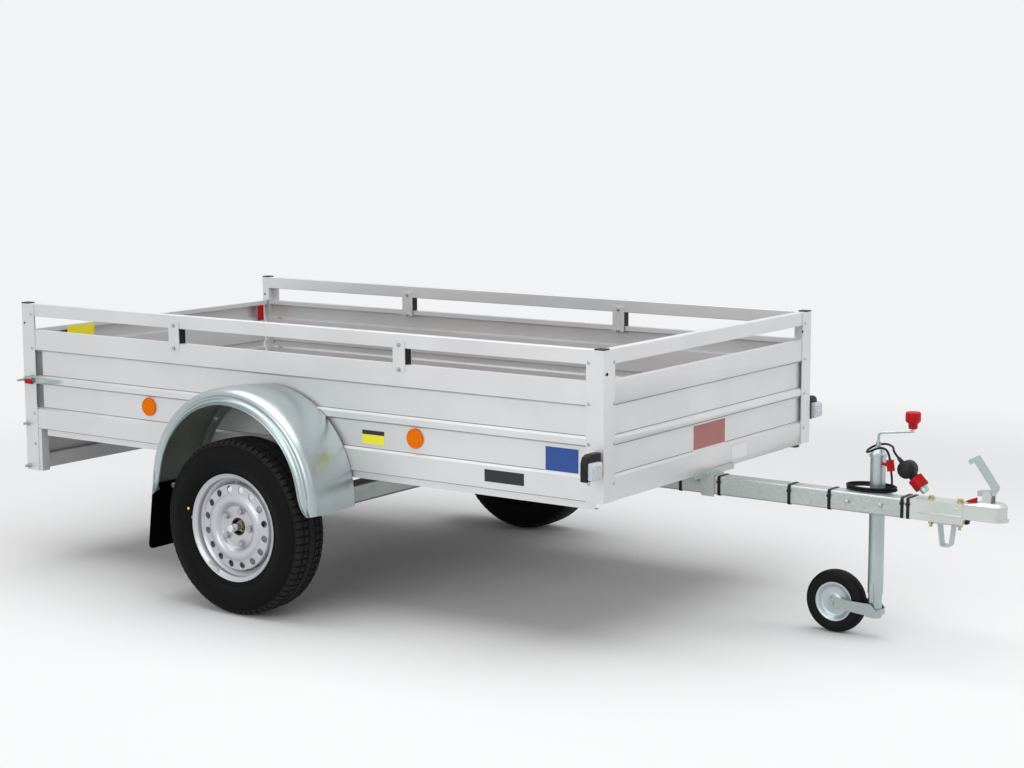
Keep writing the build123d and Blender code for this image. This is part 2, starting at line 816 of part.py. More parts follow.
# ================================================================ mudguards
def make_guard():
    """Right half-round guard: crowned top, rolled and beaded outer edge, inner bolting skirt."""
    r = guard_radius
    w = guard_width
    rows = [
        (r - guard_crown - guard_inner_skirt, 0), (r - guard_crown, 0), (r, w * 0.5), (r - 4, w - guard_roll),
        (r - 18, w - guard_roll / 4), (r - 27, w - guard_roll / 3), (r - 33, w - 1), (guard_opening, w),
    ]
    outline = strip(rows, guard_sheet)
    face = make_face(Polyline(*[(radius, -offset, 0) for radius, offset in outline], close=True))
    guard = revolve(face, Axis.Y, 180)
    if guard.bounding_box().max.Z < 1:
        guard = Rot(0, 180, 0) * guard
    for front in (-1, 1):
        corner = block(min(0, front * guard_round), max(0, front * guard_round), -w - 1, guard_roll - w, 0,
                       guard_round)
        arc = Plane(origin=(front * guard_round, 0, guard_round), x_dir=(1, 0, 0), z_dir=(0, -1, 0))
        corner = corner - extrude(arc * Circle(guard_round), w + 2)
        guard = guard - Pos(front * (guard_opening - guard_sheet), 0, 0) * corner
    return Pos(guard_station, -wall_plane - fit, guard_z) * guard


def make_flap():
    """Right rubber mudflap behind the wheel, hung inside the guard's rear end."""
    inside = guard_radius - guard_crown - guard_sheet
    x = guard_station - (inside ** 2 - (flap_top - guard_z) ** 2) ** 0.5 + fit
    y0 = -wall_plane - fit - flap_inset
    return block(x, x + flap_thick, y0 - flap_width, y0, flap_bottom, flap_top)


guard = make_guard()
add("mudguard_right", guard)
add("mudguard_left", mirrored(guard))
add("mudflaps", *on_both_sides(make_flap()))


# ================================================================ drawbar
drawbar_top = drawbar_z + drawbar_size / 2
drawbar_bottom = drawbar_z - drawbar_size / 2


def make_drawbar():
    length = drawbar_front - drawbar_rear
    tube = square_tube(length, drawbar_size, drawbar_size, drawbar_wall, drawbar_corner)
    return Pos(drawbar_rear, 0, drawbar_z) * tube


def make_saddle():
    """Folded saddle that hangs the drawbar under the front wall."""
    x0 = saddle_station - saddle_width / 2
    x1 = saddle_station + saddle_width / 2
    half = drawbar_size / 2 + fit
    base = drawbar_top + fit
    saddle = block(x0, x1, -half - saddle_wall, half + saddle_wall, base, base + saddle_wall)
    for side in SIDES.values():
        y0 = side * half
        y1 = side * (half + saddle_wall)
        saddle = saddle + block(x0, x1, min(y0, y1), max(y0, y1), drawbar_bottom - 6, base)
    front = box_length - flange_thick + fit
    plate = block(front, front + saddle_wall, -saddle_top_length / 2, saddle_top_length / 2,
                  base, base + saddle_top_height - 4)
    return saddle + plate


def make_axle_saddle():
    """Folded clamp between the drawbar's rear end and the axle beam, open fore and aft."""
    z0 = axle_z + axle_size / 2
    half = drawbar_size / 2 + saddle_ledge
    x0 = axle_station - axle_saddle_length / 2
    x1 = axle_station + axle_saddle_length / 2
    outer = block(x0, x1, -half, half, z0, drawbar_bottom)
    return outer - block(x0, x1, -half + saddle_wall, half - saddle_wall, z0 + saddle_wall,
                         drawbar_bottom - saddle_wall)


add("drawbar", make_drawbar())
add("drawbar_saddle", make_saddle())
add("axle_saddle", make_axle_saddle())


# ================================================================ ball coupling
coupling_top = drawbar_top + fit + coupling_wall
coupling_half = drawbar_size / 2 + fit + coupling_wall
coupling_bottom = drawbar_bottom + 2


def make_coupling():
    """Pressed coupling head: a channel over the drawbar that narrows into the domed ball cup."""
    top = coupling_top
    half = coupling_half
    channel_end = coupling_rear + channel_length
    channel = block(coupling_rear, channel_end, -half, half, coupling_bottom, top)
    channel = channel - block(coupling_rear, channel_end - coupling_wall, -half + coupling_wall,
                              half - coupling_wall, coupling_bottom, top - coupling_wall)
    foot = coupling_bottom + nose_lift
    dome_radius = coupling_nose - nose_flange - ball_station
    plan = nose_plan(channel_end - 1, half - 1, dome_radius)
    bevel_foot = top + dome_rise - dome_bevel
    dome = Pos(0, 0, foot) * extrude(plan, bevel_foot - foot)
    crown = nose_plan(channel_end - 1, half - 1 - dome_bevel, dome_radius - dome_bevel)
    dome = dome + loft([Pos(0, 0, bevel_foot) * plan, Pos(0, 0, top + dome_rise) * crown], ruled=True)
    slope = face_of([(channel_end - 2, top), (ball_station - cup_radius, top + dome_rise + 1),
                     (channel_end - 2, top + dome_rise + 1)], Plane.XZ)
    dome = dome - extrude(slope, half, both=True)
    wide = nose_plan(channel_end - 1, half, dome_radius + nose_flange)
    flange = Pos(0, 0, foot) * extrude(wide, nose_flange)
    bore = ball_radius + ball_clearance
    cup = Pos(ball_station, 0, cup_z) * Sphere(bore)
    throat = Pos(ball_station, 0, foot - 1) * extrude(Circle(bore), cup_z - foot + 1)
    head = channel + (dome + flange - cup - throat)
    for ear in on_both_sides(lever_ear_plate()):
        head = head + ear
    return head + rod(lever_pin_end(-1), lever_pin_end(1), lever_pin_radius)


def nose_plan(rear, half, radius):
    """Plan of the nose: from the channel's end to a half circle about the ball."""
    flank = Polyline((ball_station, -radius, 0), (rear, -half, 0), (rear, half, 0), (ball_station, radius, 0))
    tip = ThreePointArc((ball_station, radius, 0), (ball_station + radius, 0, 0), (ball_station, -radius, 0))
    return make_face(flank + tip)


def lever_ear_plate():
    """Left one of the two upright ears that hold the lever's pin."""
    inner = lever_width / 2 + fit
    plane = Plane(origin=(lever_pivot_station, inner, lever_pivot_z), x_dir=(-1, 0, 0), z_dir=(0, 1, 0))
    foot = block(lever_pivot_station - lever_ear_radius, lever_pivot_station + lever_ear_radius, inner,
                 inner + lever_ear, coupling_top + dome_rise / 2, lever_pivot_z)
    return extrude(plane * Circle(lever_ear_radius), lever_ear) + foot


def lever_pin_end(side):
    return lever_pivot_station, side * (lever_width / 2 + lever_ear + 2), lever_pivot_z


def make_lever():
    """Raised coupling lever: a cranked bar on its pivot pin."""
    outer = [(lever_pivot_station + x, lever_pivot_z + z) for x, z in lever_line]
    bar = extrude(face_of(strip(outer, lever_bar), Plane.XZ), lever_width / 2, both=True)
    pivot = Pos(lever_pivot_station, 0, lever_pivot_z) * Rot(90, 0, 0)
    bore = pivot * Cylinder(lever_pin_radius + fit, 2 * lever_width)
    return bar + pivot * Cylinder(lever_eye, lever_width) - bore


def make_loop():
    """Flat steel loop under the coupling, narrower at its foot."""
    top = coupling_bottom - fit
    plate = block(-loop_top_half - loop_bar, loop_top_half + loop_bar, -coupling_half, coupling_half,
                  top - loop_plate, top)
    bar = [(-loop_top_half, top - loop_plate / 2), (-loop_foot_half, loop_bottom + loop_bar),
           (-loop_foot_half + 5, loop_bottom), (loop_foot_half - 5, loop_bottom),
           (loop_foot_half, loop_bottom + loop_bar), (loop_top_half, top - loop_plate / 2)]
    loop = extrude(face_of(strip(bar, loop_bar), Plane.XZ), loop_depth / 2, both=True)
    return Pos(loop_station, 0, 0) * (plate + loop)


add("coupling_head", make_coupling())
add("coupling_lever", make_lever())
add("safety_loop", make_loop())


# ================================================================ jockey wheel
leg_radius = jockey_tube_radius - jockey_tube_wall - leg_clearance


def jockey(x=0.0, y=0.0, z=0.0):
    return Pos(jockey_station + x, jockey_y + y, z)


upward = (Align.CENTER, Align.CENTER, Align.MIN)


def ring(outer, inner, z0, z1):
    return Pos(0, 0, z0) * (extrude(Circle(outer), z1 - z0) - extrude(Circle(inner), z1 - z0))


def make_jockey_tube():
    inner = jockey_tube_radius - jockey_tube_wall
    tube = ring(jockey_tube_radius, inner, jockey_tube_bottom, jockey_tube_top)
    collar = ring(jockey_tube_radius + 3, inner, jockey_tube_top - 8, jockey_tube_top)
    cone = Pos(0, 0, jockey_tube_top) * Cone(jockey_tube_radius, 9, tube_cone, align=upward)
    return jockey() * (tube + collar + cone)


def make_clamp():
    """Clamp that holds the jockey tube to the drawbar's left face, with its screw and handle."""
    y0 = jockey_tube_radius - jockey_offset - jockey_tube_radius + fit
    y1 = jockey_tube_radius + 6
    z0 = drawbar_z - clamp_height / 2
    body = block(-36, 36, y0, y1, z0, z0 + clamp_height)
    body = body - Pos(0, 0, z0) * extrude(Circle(jockey_tube_radius + 0.05), clamp_height)
    screw = rod((0, y1, drawbar_z), (0, y1 + 30, drawbar_z), clamp_screw)
    reach = clamp_handle / 2
    handle = rod((-reach, y1 + 24, drawbar_z), (reach, y1 + 24, drawbar_z), clamp_screw - 2)
    return jockey() * (body + screw + handle)


def make_crank():
    """Bent crank rod out of the tube's top, with the pin that carries the knob."""
    top = jockey_tube_top + tube_cone
    end = crank_z + crank_rise
    path = FilletPolyline((0, 0, top), (0, 0, crank_z), (crank_reach, 0, end), radius=crank_bend)
    bar = sweep(Plane.XY.offset(top) * Circle(crank_rod), path=path)
    pin = Pos(crank_reach, 0, end - crank_rod) * Cylinder(crank_rod, crank_rod + 8, align=upward)
    hub = Pos(0, 0, top) * Cylinder(2 * crank_rod, crank_hub, align=upward)
    return jockey() * (bar + pin + hub)


def make_knob():
    """Turned knob: a straight neck that flares into a round-edged head."""
    z0 = crank_z + crank_rise - crank_rod + 8 + crank_rod
    neck = z0 + knob_neck_height
    top = neck + knob_height
    profile = [(0, z0), (knob_neck_radius, z0), (knob_neck_radius, neck - 4), (knob_radius, neck + 6),
               (knob_radius, top - knob_round), (knob_radius - knob_round, top), (0, top)]
    return jockey(crank_reach) * turned(profile)


def make_leg():
    """Inner tube that slides out of the jockey tube, with its swivel pin and stop lug."""
    foot = socket_bottom + socket_height + socket_gap
    leg = ring(leg_radius, leg_radius - leg_wall, foot, leg_top)
    plug = Pos(0, 0, foot) * extrude(Circle(leg_radius - 0.5), 10.0)
    swivel = Pos(0, 0, socket_bottom + 2) * extrude(Circle(swivel_radius), foot - socket_bottom - 2)
    face = jockey_tube_radius + leg_clearance
    half = leg_lug / 2
    z0 = jockey_tube_bottom - 27
    lug = block(-half, half, -face - leg_lug_thick, -leg_radius + 4, z0, z0 + 5)
    lug = lug + block(-half, half, -face - leg_lug_thick, -face, z0, z0 + leg_lug_height)
    return jockey() * (leg + plug + swivel + lug)


def make_fork():
    """Castor fork: a round socket under the leg and two arms trailing back to the axle."""
    z0 = socket_bottom
    top = z0 + socket_height
    bore = swivel_radius + swivel_clearance
    inner = castor_width / 2 + fork_gap
    outline = [(-castor_trail, castor_radius + fork_end), (0, top + 18), (18, top - 2), (18, z0 + 6),
               (-castor_trail, castor_radius - fork_end)]
    fork = ring(leg_radius, bore, z0, top)
    for side in SIDES.values():
        arm = Plane(origin=(0, side * inner, 0), x_dir=(1, 0, 0), z_dir=(0, side, 0))
        corners = [(side_x, height) if side < 0 else (side_x, -height) for side_x, height in outline]
        plate = extrude(arm * make_face(Polyline(*corners, close=True)), fork_thick)
        end = Plane(origin=(-castor_trail, side * inner, castor_radius), x_dir=(1, 0, 0), z_dir=(0, side, 0))
        fork = fork + plate + extrude(end * Circle(fork_end), fork_thick)
    bridge = block(-18, 18, -inner, inner, z0 + 4, top - 4) - Pos(0, 0, z0) * extrude(Circle(bore), 40)
    end_y = inner + 9
    axle = rod((-castor_trail, -end_y, castor_radius), (-castor_trail, end_y, castor_radius), castor_axle)
    return jockey() * (fork + bridge + axle)


def castor_place():
    return Plane(origin=(jockey_station - castor_trail, jockey_y, castor_radius), x_dir=(1, 0, 0),
                 z_dir=(0, -1, 0)).location


def make_castor_rim():
    """Pressed two-part rim: a web and hub between dished flanges."""
    half = castor_width / 2
    bore = castor_axle + castor_clearance
    seat = castor_rim_radius
    points = [(bore, -half - 1), (13, -half - 1), (13, -10), (seat - 16, -10), (seat - 8, -half + 3),
              (seat, -half + 3), (seat, half - 3), (seat - 8, half - 3), (seat - 16, 10), (13, 10),
              (13, half + 1), (bore, half + 1)]
    return castor_place() * turned(points)


def make_castor_tyre():
    half = castor_width / 2
    seat = castor_rim_radius + 0.1
    side = [(seat, half - 3), (seat + 22, half), (castor_radius, half - 15)]
    lower = [(radius, -height) for radius, height in reversed(side)]
    return castor_place() * turned(side + lower)


add("jockey_tube", make_jockey_tube())
add("jockey_clamp", make_clamp())
add("jockey_crank", make_crank())
add("crank_knob", make_knob())
add("jockey_leg_tube", make_leg())
add("castor_fork", make_fork())
add("castor_rim", make_castor_rim())
add("castor_tyre", make_castor_tyre())


# ================================================================ lamps and reflectors
def make_reflectors():
    discs = []
    face = -wall_plane + recess
    for station in (reflector_rear, box_length - reflector_front):
        disc = Pos(station, face - reflector_thick / 2, reflector_z) * Rot(90, 0, 0) * Cylinder(
            reflector_radius, reflector_thick)
        discs.append(disc)
    return discs


def make_marker():
    """Right front marker lamp: wedge bracket on the post's side and the lens on its front."""
    y = -half_width
    x1 = box_length + 2
    outline = [(x1 - marker_depth, y), (x1 - marker_lens_length, y - marker_reach),
               (x1 - marker_lens_length + 12, y - marker_reach), (x1 - 10, y)]
    z0 = marker_z - marker_height / 2
    bracket = extrude(Pos(0, 0, z0) * make_face(Polyline(*outline, close=True)), marker_height)
    lens = block(x1 - 10, x1, y - marker_reach, y - 2, z0 + 4, z0 + marker_height - 4)
    return bracket, lens


discs = make_reflectors()
add("reflectors", *discs, *[mirrored(d) for d in discs])
bracket, marker_lens = make_marker()
add("marker_brackets", *on_both_sides(bracket))
add("marker_lenses", *on_both_sides(marker_lens))


# ================================================================ cable, plug and parking socket
coil_centre = (jockey_station + coil_ahead, jockey_y - coil_inward)
coil_bottom = drawbar_top + fit
coil_top = coil_bottom + coil_height
cable_side = drawbar_size / 2 + cable_radius + cable_gap


def by_jockey(x, y, z):
    """A point given from the jockey tube's axis, in the trailer's own coordinates."""
    return jockey_station + x, jockey_y + y, z


# Routes: (ahead of the jockey tube's axis, left of it, height), chosen by hand.
run_route = [
    (gland_ahead, cable_side - jockey_y, gland_z), (-124, cable_side - jockey_y, gland_z),
    (-104, cable_side - jockey_y, gland_z + 4), (-91, cable_side - jockey_y, gland_z + 10),
    (-91, cable_side - jockey_y, coil_bottom),
]
lead_route = [
    (park_foot[0] + 4.5, park_foot[1] - 1.5, coil_top),
    (park_foot[0] + 4.5, park_foot[1] - 1.5, park_foot[2] - 25.5), park_foot,
]
loop_route = [
    park_head, (46.11, -23.7, 592.0), (28.7, -28.6, 607.3), (5, -37, 601), (-24, -31, 585),
    (-40, 4, 588), (-22, 32, 602), (14, 30, 609), (46, -6, 610), (66, -36, 612),
    (plug_at[0] - 15, plug_at[1], plug_at[2] + 15 * tan(radians(plug_slope))), plug_at,
]


def cable_tube(name, route):
    """A run of cable: straight runs joined by arcs as large as the runs allow."""
    corners = [Vector(*by_jockey(*point)) for point in route]
    radii = []
    for before, corner, after in zip(corners, corners[1:], corners[2:]):
        turn = (corner - before).get_angle(after - corner)
        shorter = min((corner - before).length, (after - corner).length)
        radii.append(0.45 * shorter / tan(radians(turn / 2)))
    path = FilletPolyline(*corners, radius=radii)
    print(name, "bend radii", [round(radius, 1) for radius in radii], "length", round(path.length, 1))
    start = Plane(origin=corners[0], z_dir=corners[1] - corners[0])
    return sweep(start * Circle(cable_radius), path=path)


def make_coil():
    """The coil's outer shape: a flat oval ring on the drawbar, around the jockey tube."""
    outer = Ellipse(coil_half_length, coil_half_width)
    inner = Ellipse(coil_half_length - coil_band, coil_half_width - coil_band)
    ring_solid = extrude(outer - inner, coil_height)
    return Pos(coil_centre[0], coil_centre[1], coil_bottom) * ring_solid


def make_gland():
    """Cowl on the drawbar's left face that the cable comes out of, forwards."""
    x1 = jockey_station + gland_ahead
    y0 = drawbar_size / 2 + fit
    z = gland_z
    half = cable_radius + 3
    return block(x1 - gland_length, x1, y0, cable_side + cable_radius + 2, z - half, z + half)


def plug_plane(along):
    """Plane square to the plug's axis, at a distance along it from the relief's end."""
    down = radians(plug_slope)
    x, y, z = by_jockey(*plug_at)
    return Plane(origin=(x + along * cos(down), y, z - along * sin(down)), x_dir=(0, 1, 0),
                 z_dir=(cos(down), 0, -sin(down)))


def make_plug_body():
    """Plug: tapered strain relief, round housing and the barrel behind the collar."""
    relief = loft([plug_plane(0) * Circle(cable_radius + 1.5), plug_plane(relief_length) * Circle(8.5)])
    barrel = extrude(plug_plane(relief_length) * Circle(plug_barrel), plug_length - relief_length)
    middle = plug_plane(plug_length - plug_housing - 7).origin
    across = Plane(origin=(middle.X, middle.Y - plug_barrel - 2, middle.Z), x_dir=(1, 0, 0), z_dir=(0, 1, 0))
    housing = extrude(across * Circle(plug_housing), 2 * plug_barrel + 4)
    down = radians(plug_slope)
    drop = plug_at[2] - coupling_top - fit - core_radius * cos(down)
    core = extrude(plug_plane(plug_length) * Circle(core_radius), drop / sin(down) - plug_length)
    return relief + barrel + housing + core


def make_plug_collar():
    """Bayonet ring over the plug's core."""
    start = plug_plane(plug_length)
    return extrude(start * Circle(collar_radius), collar_length) - extrude(
        start * Circle(core_radius + fit), collar_length)


def make_park():
    """Red parking socket held off the jockey tube by a short clip."""
    lower = Vector(*by_jockey(*park_foot))
    upper = Vector(*by_jockey(*park_head))
    socket = extrude(Plane(origin=lower, z_dir=upper - lower) * Circle(park_radius), (upper - lower).length)
    middle = (lower + upper) / 2
    clip = rod(by_jockey(0, 0, middle.Z), middle, park_clip)
    tube = Pos(jockey_station, jockey_y, middle.Z - 20) * extrude(Circle(jockey_tube_radius + 0.05), 40)
    return socket + (clip - tube)


add("cable_coil", make_coil())
add("cable_run", cable_tube("cable run", run_route))
add("cable_lead", cable_tube("cable lead", lead_route))
add("cable_loop", cable_tube("cable loop", loop_route))
add("cable_gland", make_gland())
add("plug_body", make_plug_body())
add("plug_collar", make_plug_collar())
add("plug_park", make_park())

for name, solids in nodes.items():
    whole = solids[0] if len(solids) == 1 else Compound(children=list(solids))
    export_step(whole, "parts/" + name + ".step")
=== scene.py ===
import math

import bmesh
import bpy
from mathutils import Matrix, Vector


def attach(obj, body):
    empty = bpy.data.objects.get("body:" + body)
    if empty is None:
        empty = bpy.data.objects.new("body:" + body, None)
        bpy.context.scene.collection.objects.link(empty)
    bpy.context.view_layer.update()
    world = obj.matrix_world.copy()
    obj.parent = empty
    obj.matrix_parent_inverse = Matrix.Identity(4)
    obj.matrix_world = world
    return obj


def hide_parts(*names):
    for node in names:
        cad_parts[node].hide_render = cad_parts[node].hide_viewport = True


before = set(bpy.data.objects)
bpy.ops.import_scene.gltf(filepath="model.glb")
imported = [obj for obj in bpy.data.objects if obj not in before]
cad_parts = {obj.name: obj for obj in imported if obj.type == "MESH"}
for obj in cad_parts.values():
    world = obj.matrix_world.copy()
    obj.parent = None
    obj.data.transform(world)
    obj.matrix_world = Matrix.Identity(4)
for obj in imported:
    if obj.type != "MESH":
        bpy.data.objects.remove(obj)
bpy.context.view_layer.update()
print("frame loaded", len(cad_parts), "nodes")


# ---- shader wiring
class Value:
    # one shader socket: arithmetic on it adds Math nodes
    def __init__(self, wiring, socket):
        self.wiring = wiring
        self.socket = socket

    def maths(self, operation, *others):
        return self.wiring.node("ShaderNodeMath", {"operation": operation}, dict(enumerate((self,) + others)))

    def __add__(self, other):
        return self.maths("ADD", other)

    def __sub__(self, other):
        return self.maths("SUBTRACT", other)

    def __mul__(self, other):
        return self.maths("MULTIPLY", other)

    __radd__ = __add__
    __rmul__ = __mul__

    def ramp(self, low, high, fromZero=0.0, toOne=1.0):
        # smooth step of this value between low and high
        return self.wiring.node("ShaderNodeMapRange", {"interpolation_type": "SMOOTHSTEP"},
                                {"Value": self, "From Min": low, "From Max": high,
                                 "To Min": fromZero, "To Max": toOne})


class Wiring:
    # adds nodes to a node tree and links their inputs
    def __init__(self, tree):
        self.tree = tree

    def node(self, kind, settings=None, inputs=None, output=0):
        made = self.tree.nodes.new(kind)
        for key, value in (settings or {}).items():
            setattr(made, key, value)
        for key, value in (inputs or {}).items():
            if isinstance(value, Value):
                self.tree.links.new(value.socket, made.inputs[key])
            else:
                made.inputs[key].default_value = value
        return Value(self, made.outputs[output])


class Finish(Wiring):
    # a procedural material on a Principled shader
    def __init__(self, name, **constants):
        self.material = bpy.data.materials.new(name)
        self.material.use_nodes = True
        super().__init__(self.material.node_tree)
        self.shader = self.tree.nodes["Principled BSDF"]
        for socketName, value in constants.items():
            self.shader.inputs[socketName.replace("_", " ")].default_value = value
        self.place = self.node("ShaderNodeTexCoord", output="Object")

    def feed(self, **inputs):
        for socketName, value in inputs.items():
            self.tree.links.new(value.socket, self.shader.inputs[socketName.replace("_", " ")])

    def stretched(self, scale):
        return self.node("ShaderNodeMapping", None, {"Vector": self.place, "Scale": scale})

    def noise(self, scale, detail=2.0, roughness=0.5, vector=None):
        return self.node("ShaderNodeTexNoise", None, {"Vector": vector or self.place, "Scale": scale,
                                                      "Detail": detail, "Roughness": roughness})

    def cells(self, scale, output="Distance"):
        return self.node("ShaderNodeTexVoronoi", None, {"Vector": self.place, "Scale": scale}, output)

    def cellTone(self, scale):
        # one random grey for each cell
        return self.node("ShaderNodeSeparateColor", None, {"Color": self.cells(scale, "Color")}, "Red")

    def axis(self, letter):
        return self.node("ShaderNodeSeparateXYZ", None, {"Vector": self.place}, letter)

    def blend(self, factor, first, second):
        # colours mixed by a mask
        tones = [tone if isinstance(tone, Value) else (*tone, 1.0) for tone in (first, second)]
        return self.node("ShaderNodeMix", {"data_type": "RGBA"}, {0: factor, 6: tones[0], 7: tones[1]}, 2)

    def bump(self, height, strength, distance):
        self.feed(Normal=self.node("ShaderNodeBump", None,
                                   {"Height": height, "Strength": strength, "Distance": distance}))
        return self.material


# ---- finishes
def rolledAluminium(name, metal, rough, dark, light, lineScale, grain):
    # satin sheet: fine rolling lines along the length, faint cloudy tone and handling marks
    made = Finish(name, Metallic=metal, Specular_IOR_Level=0.5)
    lines = made.noise(lineScale, 3.0, 0.6, made.stretched(grain))
    cloud = made.noise(3.5, 3.0, 0.55)
    marks = made.noise(60.0, 4.0, 0.7).ramp(0.58, 0.72)
    tone = made.blend(cloud.ramp(0.35, 0.65), dark, light)
    tone = made.blend(lines.ramp(0.3, 0.7, 0.0, 0.35), tone, light)
    made.feed(Base_Color=tone, Roughness=rough + 0.10 * (lines - 0.5) + 0.06 * cloud - 0.05 * marks)
    return made.bump(lines, 0.05, 0.0004)


def galvanisedSteel(name, metal, rough, dark, light, dullTone, spangle, bloom, relief):
    # zinc coat: crystal spangle, dull runs and brighter patches
    made = Finish(name, Metallic=metal)
    wobble = made.noise(18.0)
    crystal = made.cellTone(spangle)
    patches = made.noise(6.0, 4.0, 0.6)
    dull = made.noise(38.0, 4.0, 0.65).ramp(0.45, 0.7)
    tone = made.blend(0.45 * crystal + 0.35 * patches + 0.2 * wobble, dark, light)
    tone = made.blend(dull * bloom, tone, dullTone)
    made.feed(Base_Color=tone, Roughness=rough + 0.16 * (crystal - 0.5) + 0.12 * dull)
    return made.bump(0.6 * crystal + dull, relief, 0.0006)


def smoothZinc(name, metal, rough, dark, light, spangle, grain=(1.0, 1.0, 1.0)):
    # rolled zinc sheet: soft wide tone, faint streaks and a very fine spangle
    made = Finish(name, Metallic=metal)
    cloud = made.noise(5.0, 3.0, 0.5)
    streaks = made.noise(26.0, 3.0, 0.6, made.stretched(grain))
    fleck = made.cellTone(spangle)
    tone = made.blend(0.5 * cloud.ramp(0.3, 0.7) + 0.3 * streaks + 0.2 * fleck, dark, light)
    made.feed(Base_Color=tone, Roughness=rough + 0.05 * (streaks - 0.5) + 0.03 * fleck)
    return made.bump(streaks, 0.03, 0.0005)


def paintedMetal(name, metal, rough, dark, light, dustTone):
    # paint or plating with fine flake, some dust and a little orange peel
    made = Finish(name, Metallic=metal, Coat_Weight=0.35, Coat_Roughness=0.18)
    flake = made.noise(900.0, 1.0, 0.5)
    cloud = made.noise(9.0, 3.0, 0.5)
    dust = made.noise(45.0, 5.0, 0.7).ramp(0.52, 0.74)
    tone = made.blend(0.6 * flake + 0.4 * cloud, dark, light)
    tone = made.blend(dust * 0.25, tone, dustTone)
    made.feed(Base_Color=tone, Roughness=rough + 0.15 * dust + 0.05 * flake)
    return made.bump(made.noise(240.0), 0.06, 0.0005)


def rubber(name, rough, gloss, dust, relief, dark, light, road=None):
    # moulded black rubber, greyer where it is worn or dusty; a road tyre's tread has its own tone
    made = Finish(name, Metallic=0.0, Specular_IOR_Level=gloss)
    pores = made.noise(520.0, 3.0, 0.6)
    wear = made.noise(14.0, 5.0, 0.65).ramp(0.42, 0.72)
    tone = made.blend(wear * dust, dark, light)
    if road:
        hubAhead, hubAbove, shoulder, tread, share, treadTone = road
        ahead = made.axis("X") - hubAhead
        above = made.axis("Z") - hubAbove
        reach = (ahead * ahead + above * above).maths("SQRT")
        tone = made.blend(reach.ramp(shoulder, tread, 0.0, share), tone, treadTone)
    made.feed(Base_Color=tone, Roughness=rough + 0.12 * wear + 0.08 * (pores - 0.5))
    return made.bump(pores, relief, 0.0004)


def mouldedPlastic(name, rough, grain, relief, dark, light):
    # moulded plastic with a fine spark-eroded grain
    made = Finish(name, Metallic=0.0, Specular_IOR_Level=0.2)
    cloud = made.noise(22.0, 3.0, 0.6)
    made.feed(Base_Color=made.blend(cloud.ramp(0.35, 0.7), dark, light), Roughness=rough + 0.1 * (cloud - 0.5))
    return made.bump(made.cells(grain), relief, 0.0003)


def lampLens(name, rough, gloss, coat, prisms, dark, light):
    # coloured lens with small prisms inside; each prism is painted lighter in its middle than at its rim, a painted
    # glint
    made = Finish(name, Metallic=0.0, IOR=1.49, Specular_IOR_Level=gloss, Coat_Weight=coat, Coat_Roughness=0.05)
    prism = made.cells(prisms)
    # lighter middles of the prisms: painted glints
    prismGlint = prism.ramp(0.1, 0.6)
    made.feed(Base_Color=made.blend(prismGlint, light, dark), Roughness=rough + 0.1 * prismGlint)
    return made.bump(prism, 0.12, 0.0005)


def filmFacedBoard(name, mesh, dark, light, scuffTone):
    # phenolic film over plywood with a pressed wire-mesh grip
    made = Finish(name, Metallic=0.0, Specular_IOR_Level=0.22)
    waves = [(made.axis(letter) * mesh).maths("SINE") for letter in "XY"]
    grid = (waves[0] * waves[1]).maths("ABSOLUTE")
    grain = made.noise(7.0, 5.0, 0.6, made.stretched((0.6, 6.0, 1.0)))
    scuff = made.noise(30.0, 5.0, 0.7).ramp(0.5, 0.72)
    tone = made.blend(grain.ramp(0.3, 0.7), dark, light)
    tone = made.blend(scuff * 0.3, tone, scuffTone)
    made.feed(Base_Color=tone, Roughness=0.45 + 0.15 * grid + 0.1 * scuff)
    return made.bump(grid, 0.3, 0.0008)


def printedLabel(name, tone):
    # plain coloured vinyl, a little faded and duller where it is rubbed
    made = Finish(name, Metallic=0.0, Specular_IOR_Level=0.45)
    rub = made.noise(60.0, 4.0, 0.65).ramp(0.45, 0.75)
    worn = tuple(0.9 * channel + 0.02 for channel in tone)
    made.feed(Base_Color=made.blend(rub * 0.5, tone, worn), Roughness=0.38 + 0.18 * rub)
    return made.bump(made.noise(300.0), 0.04, 0.0002)


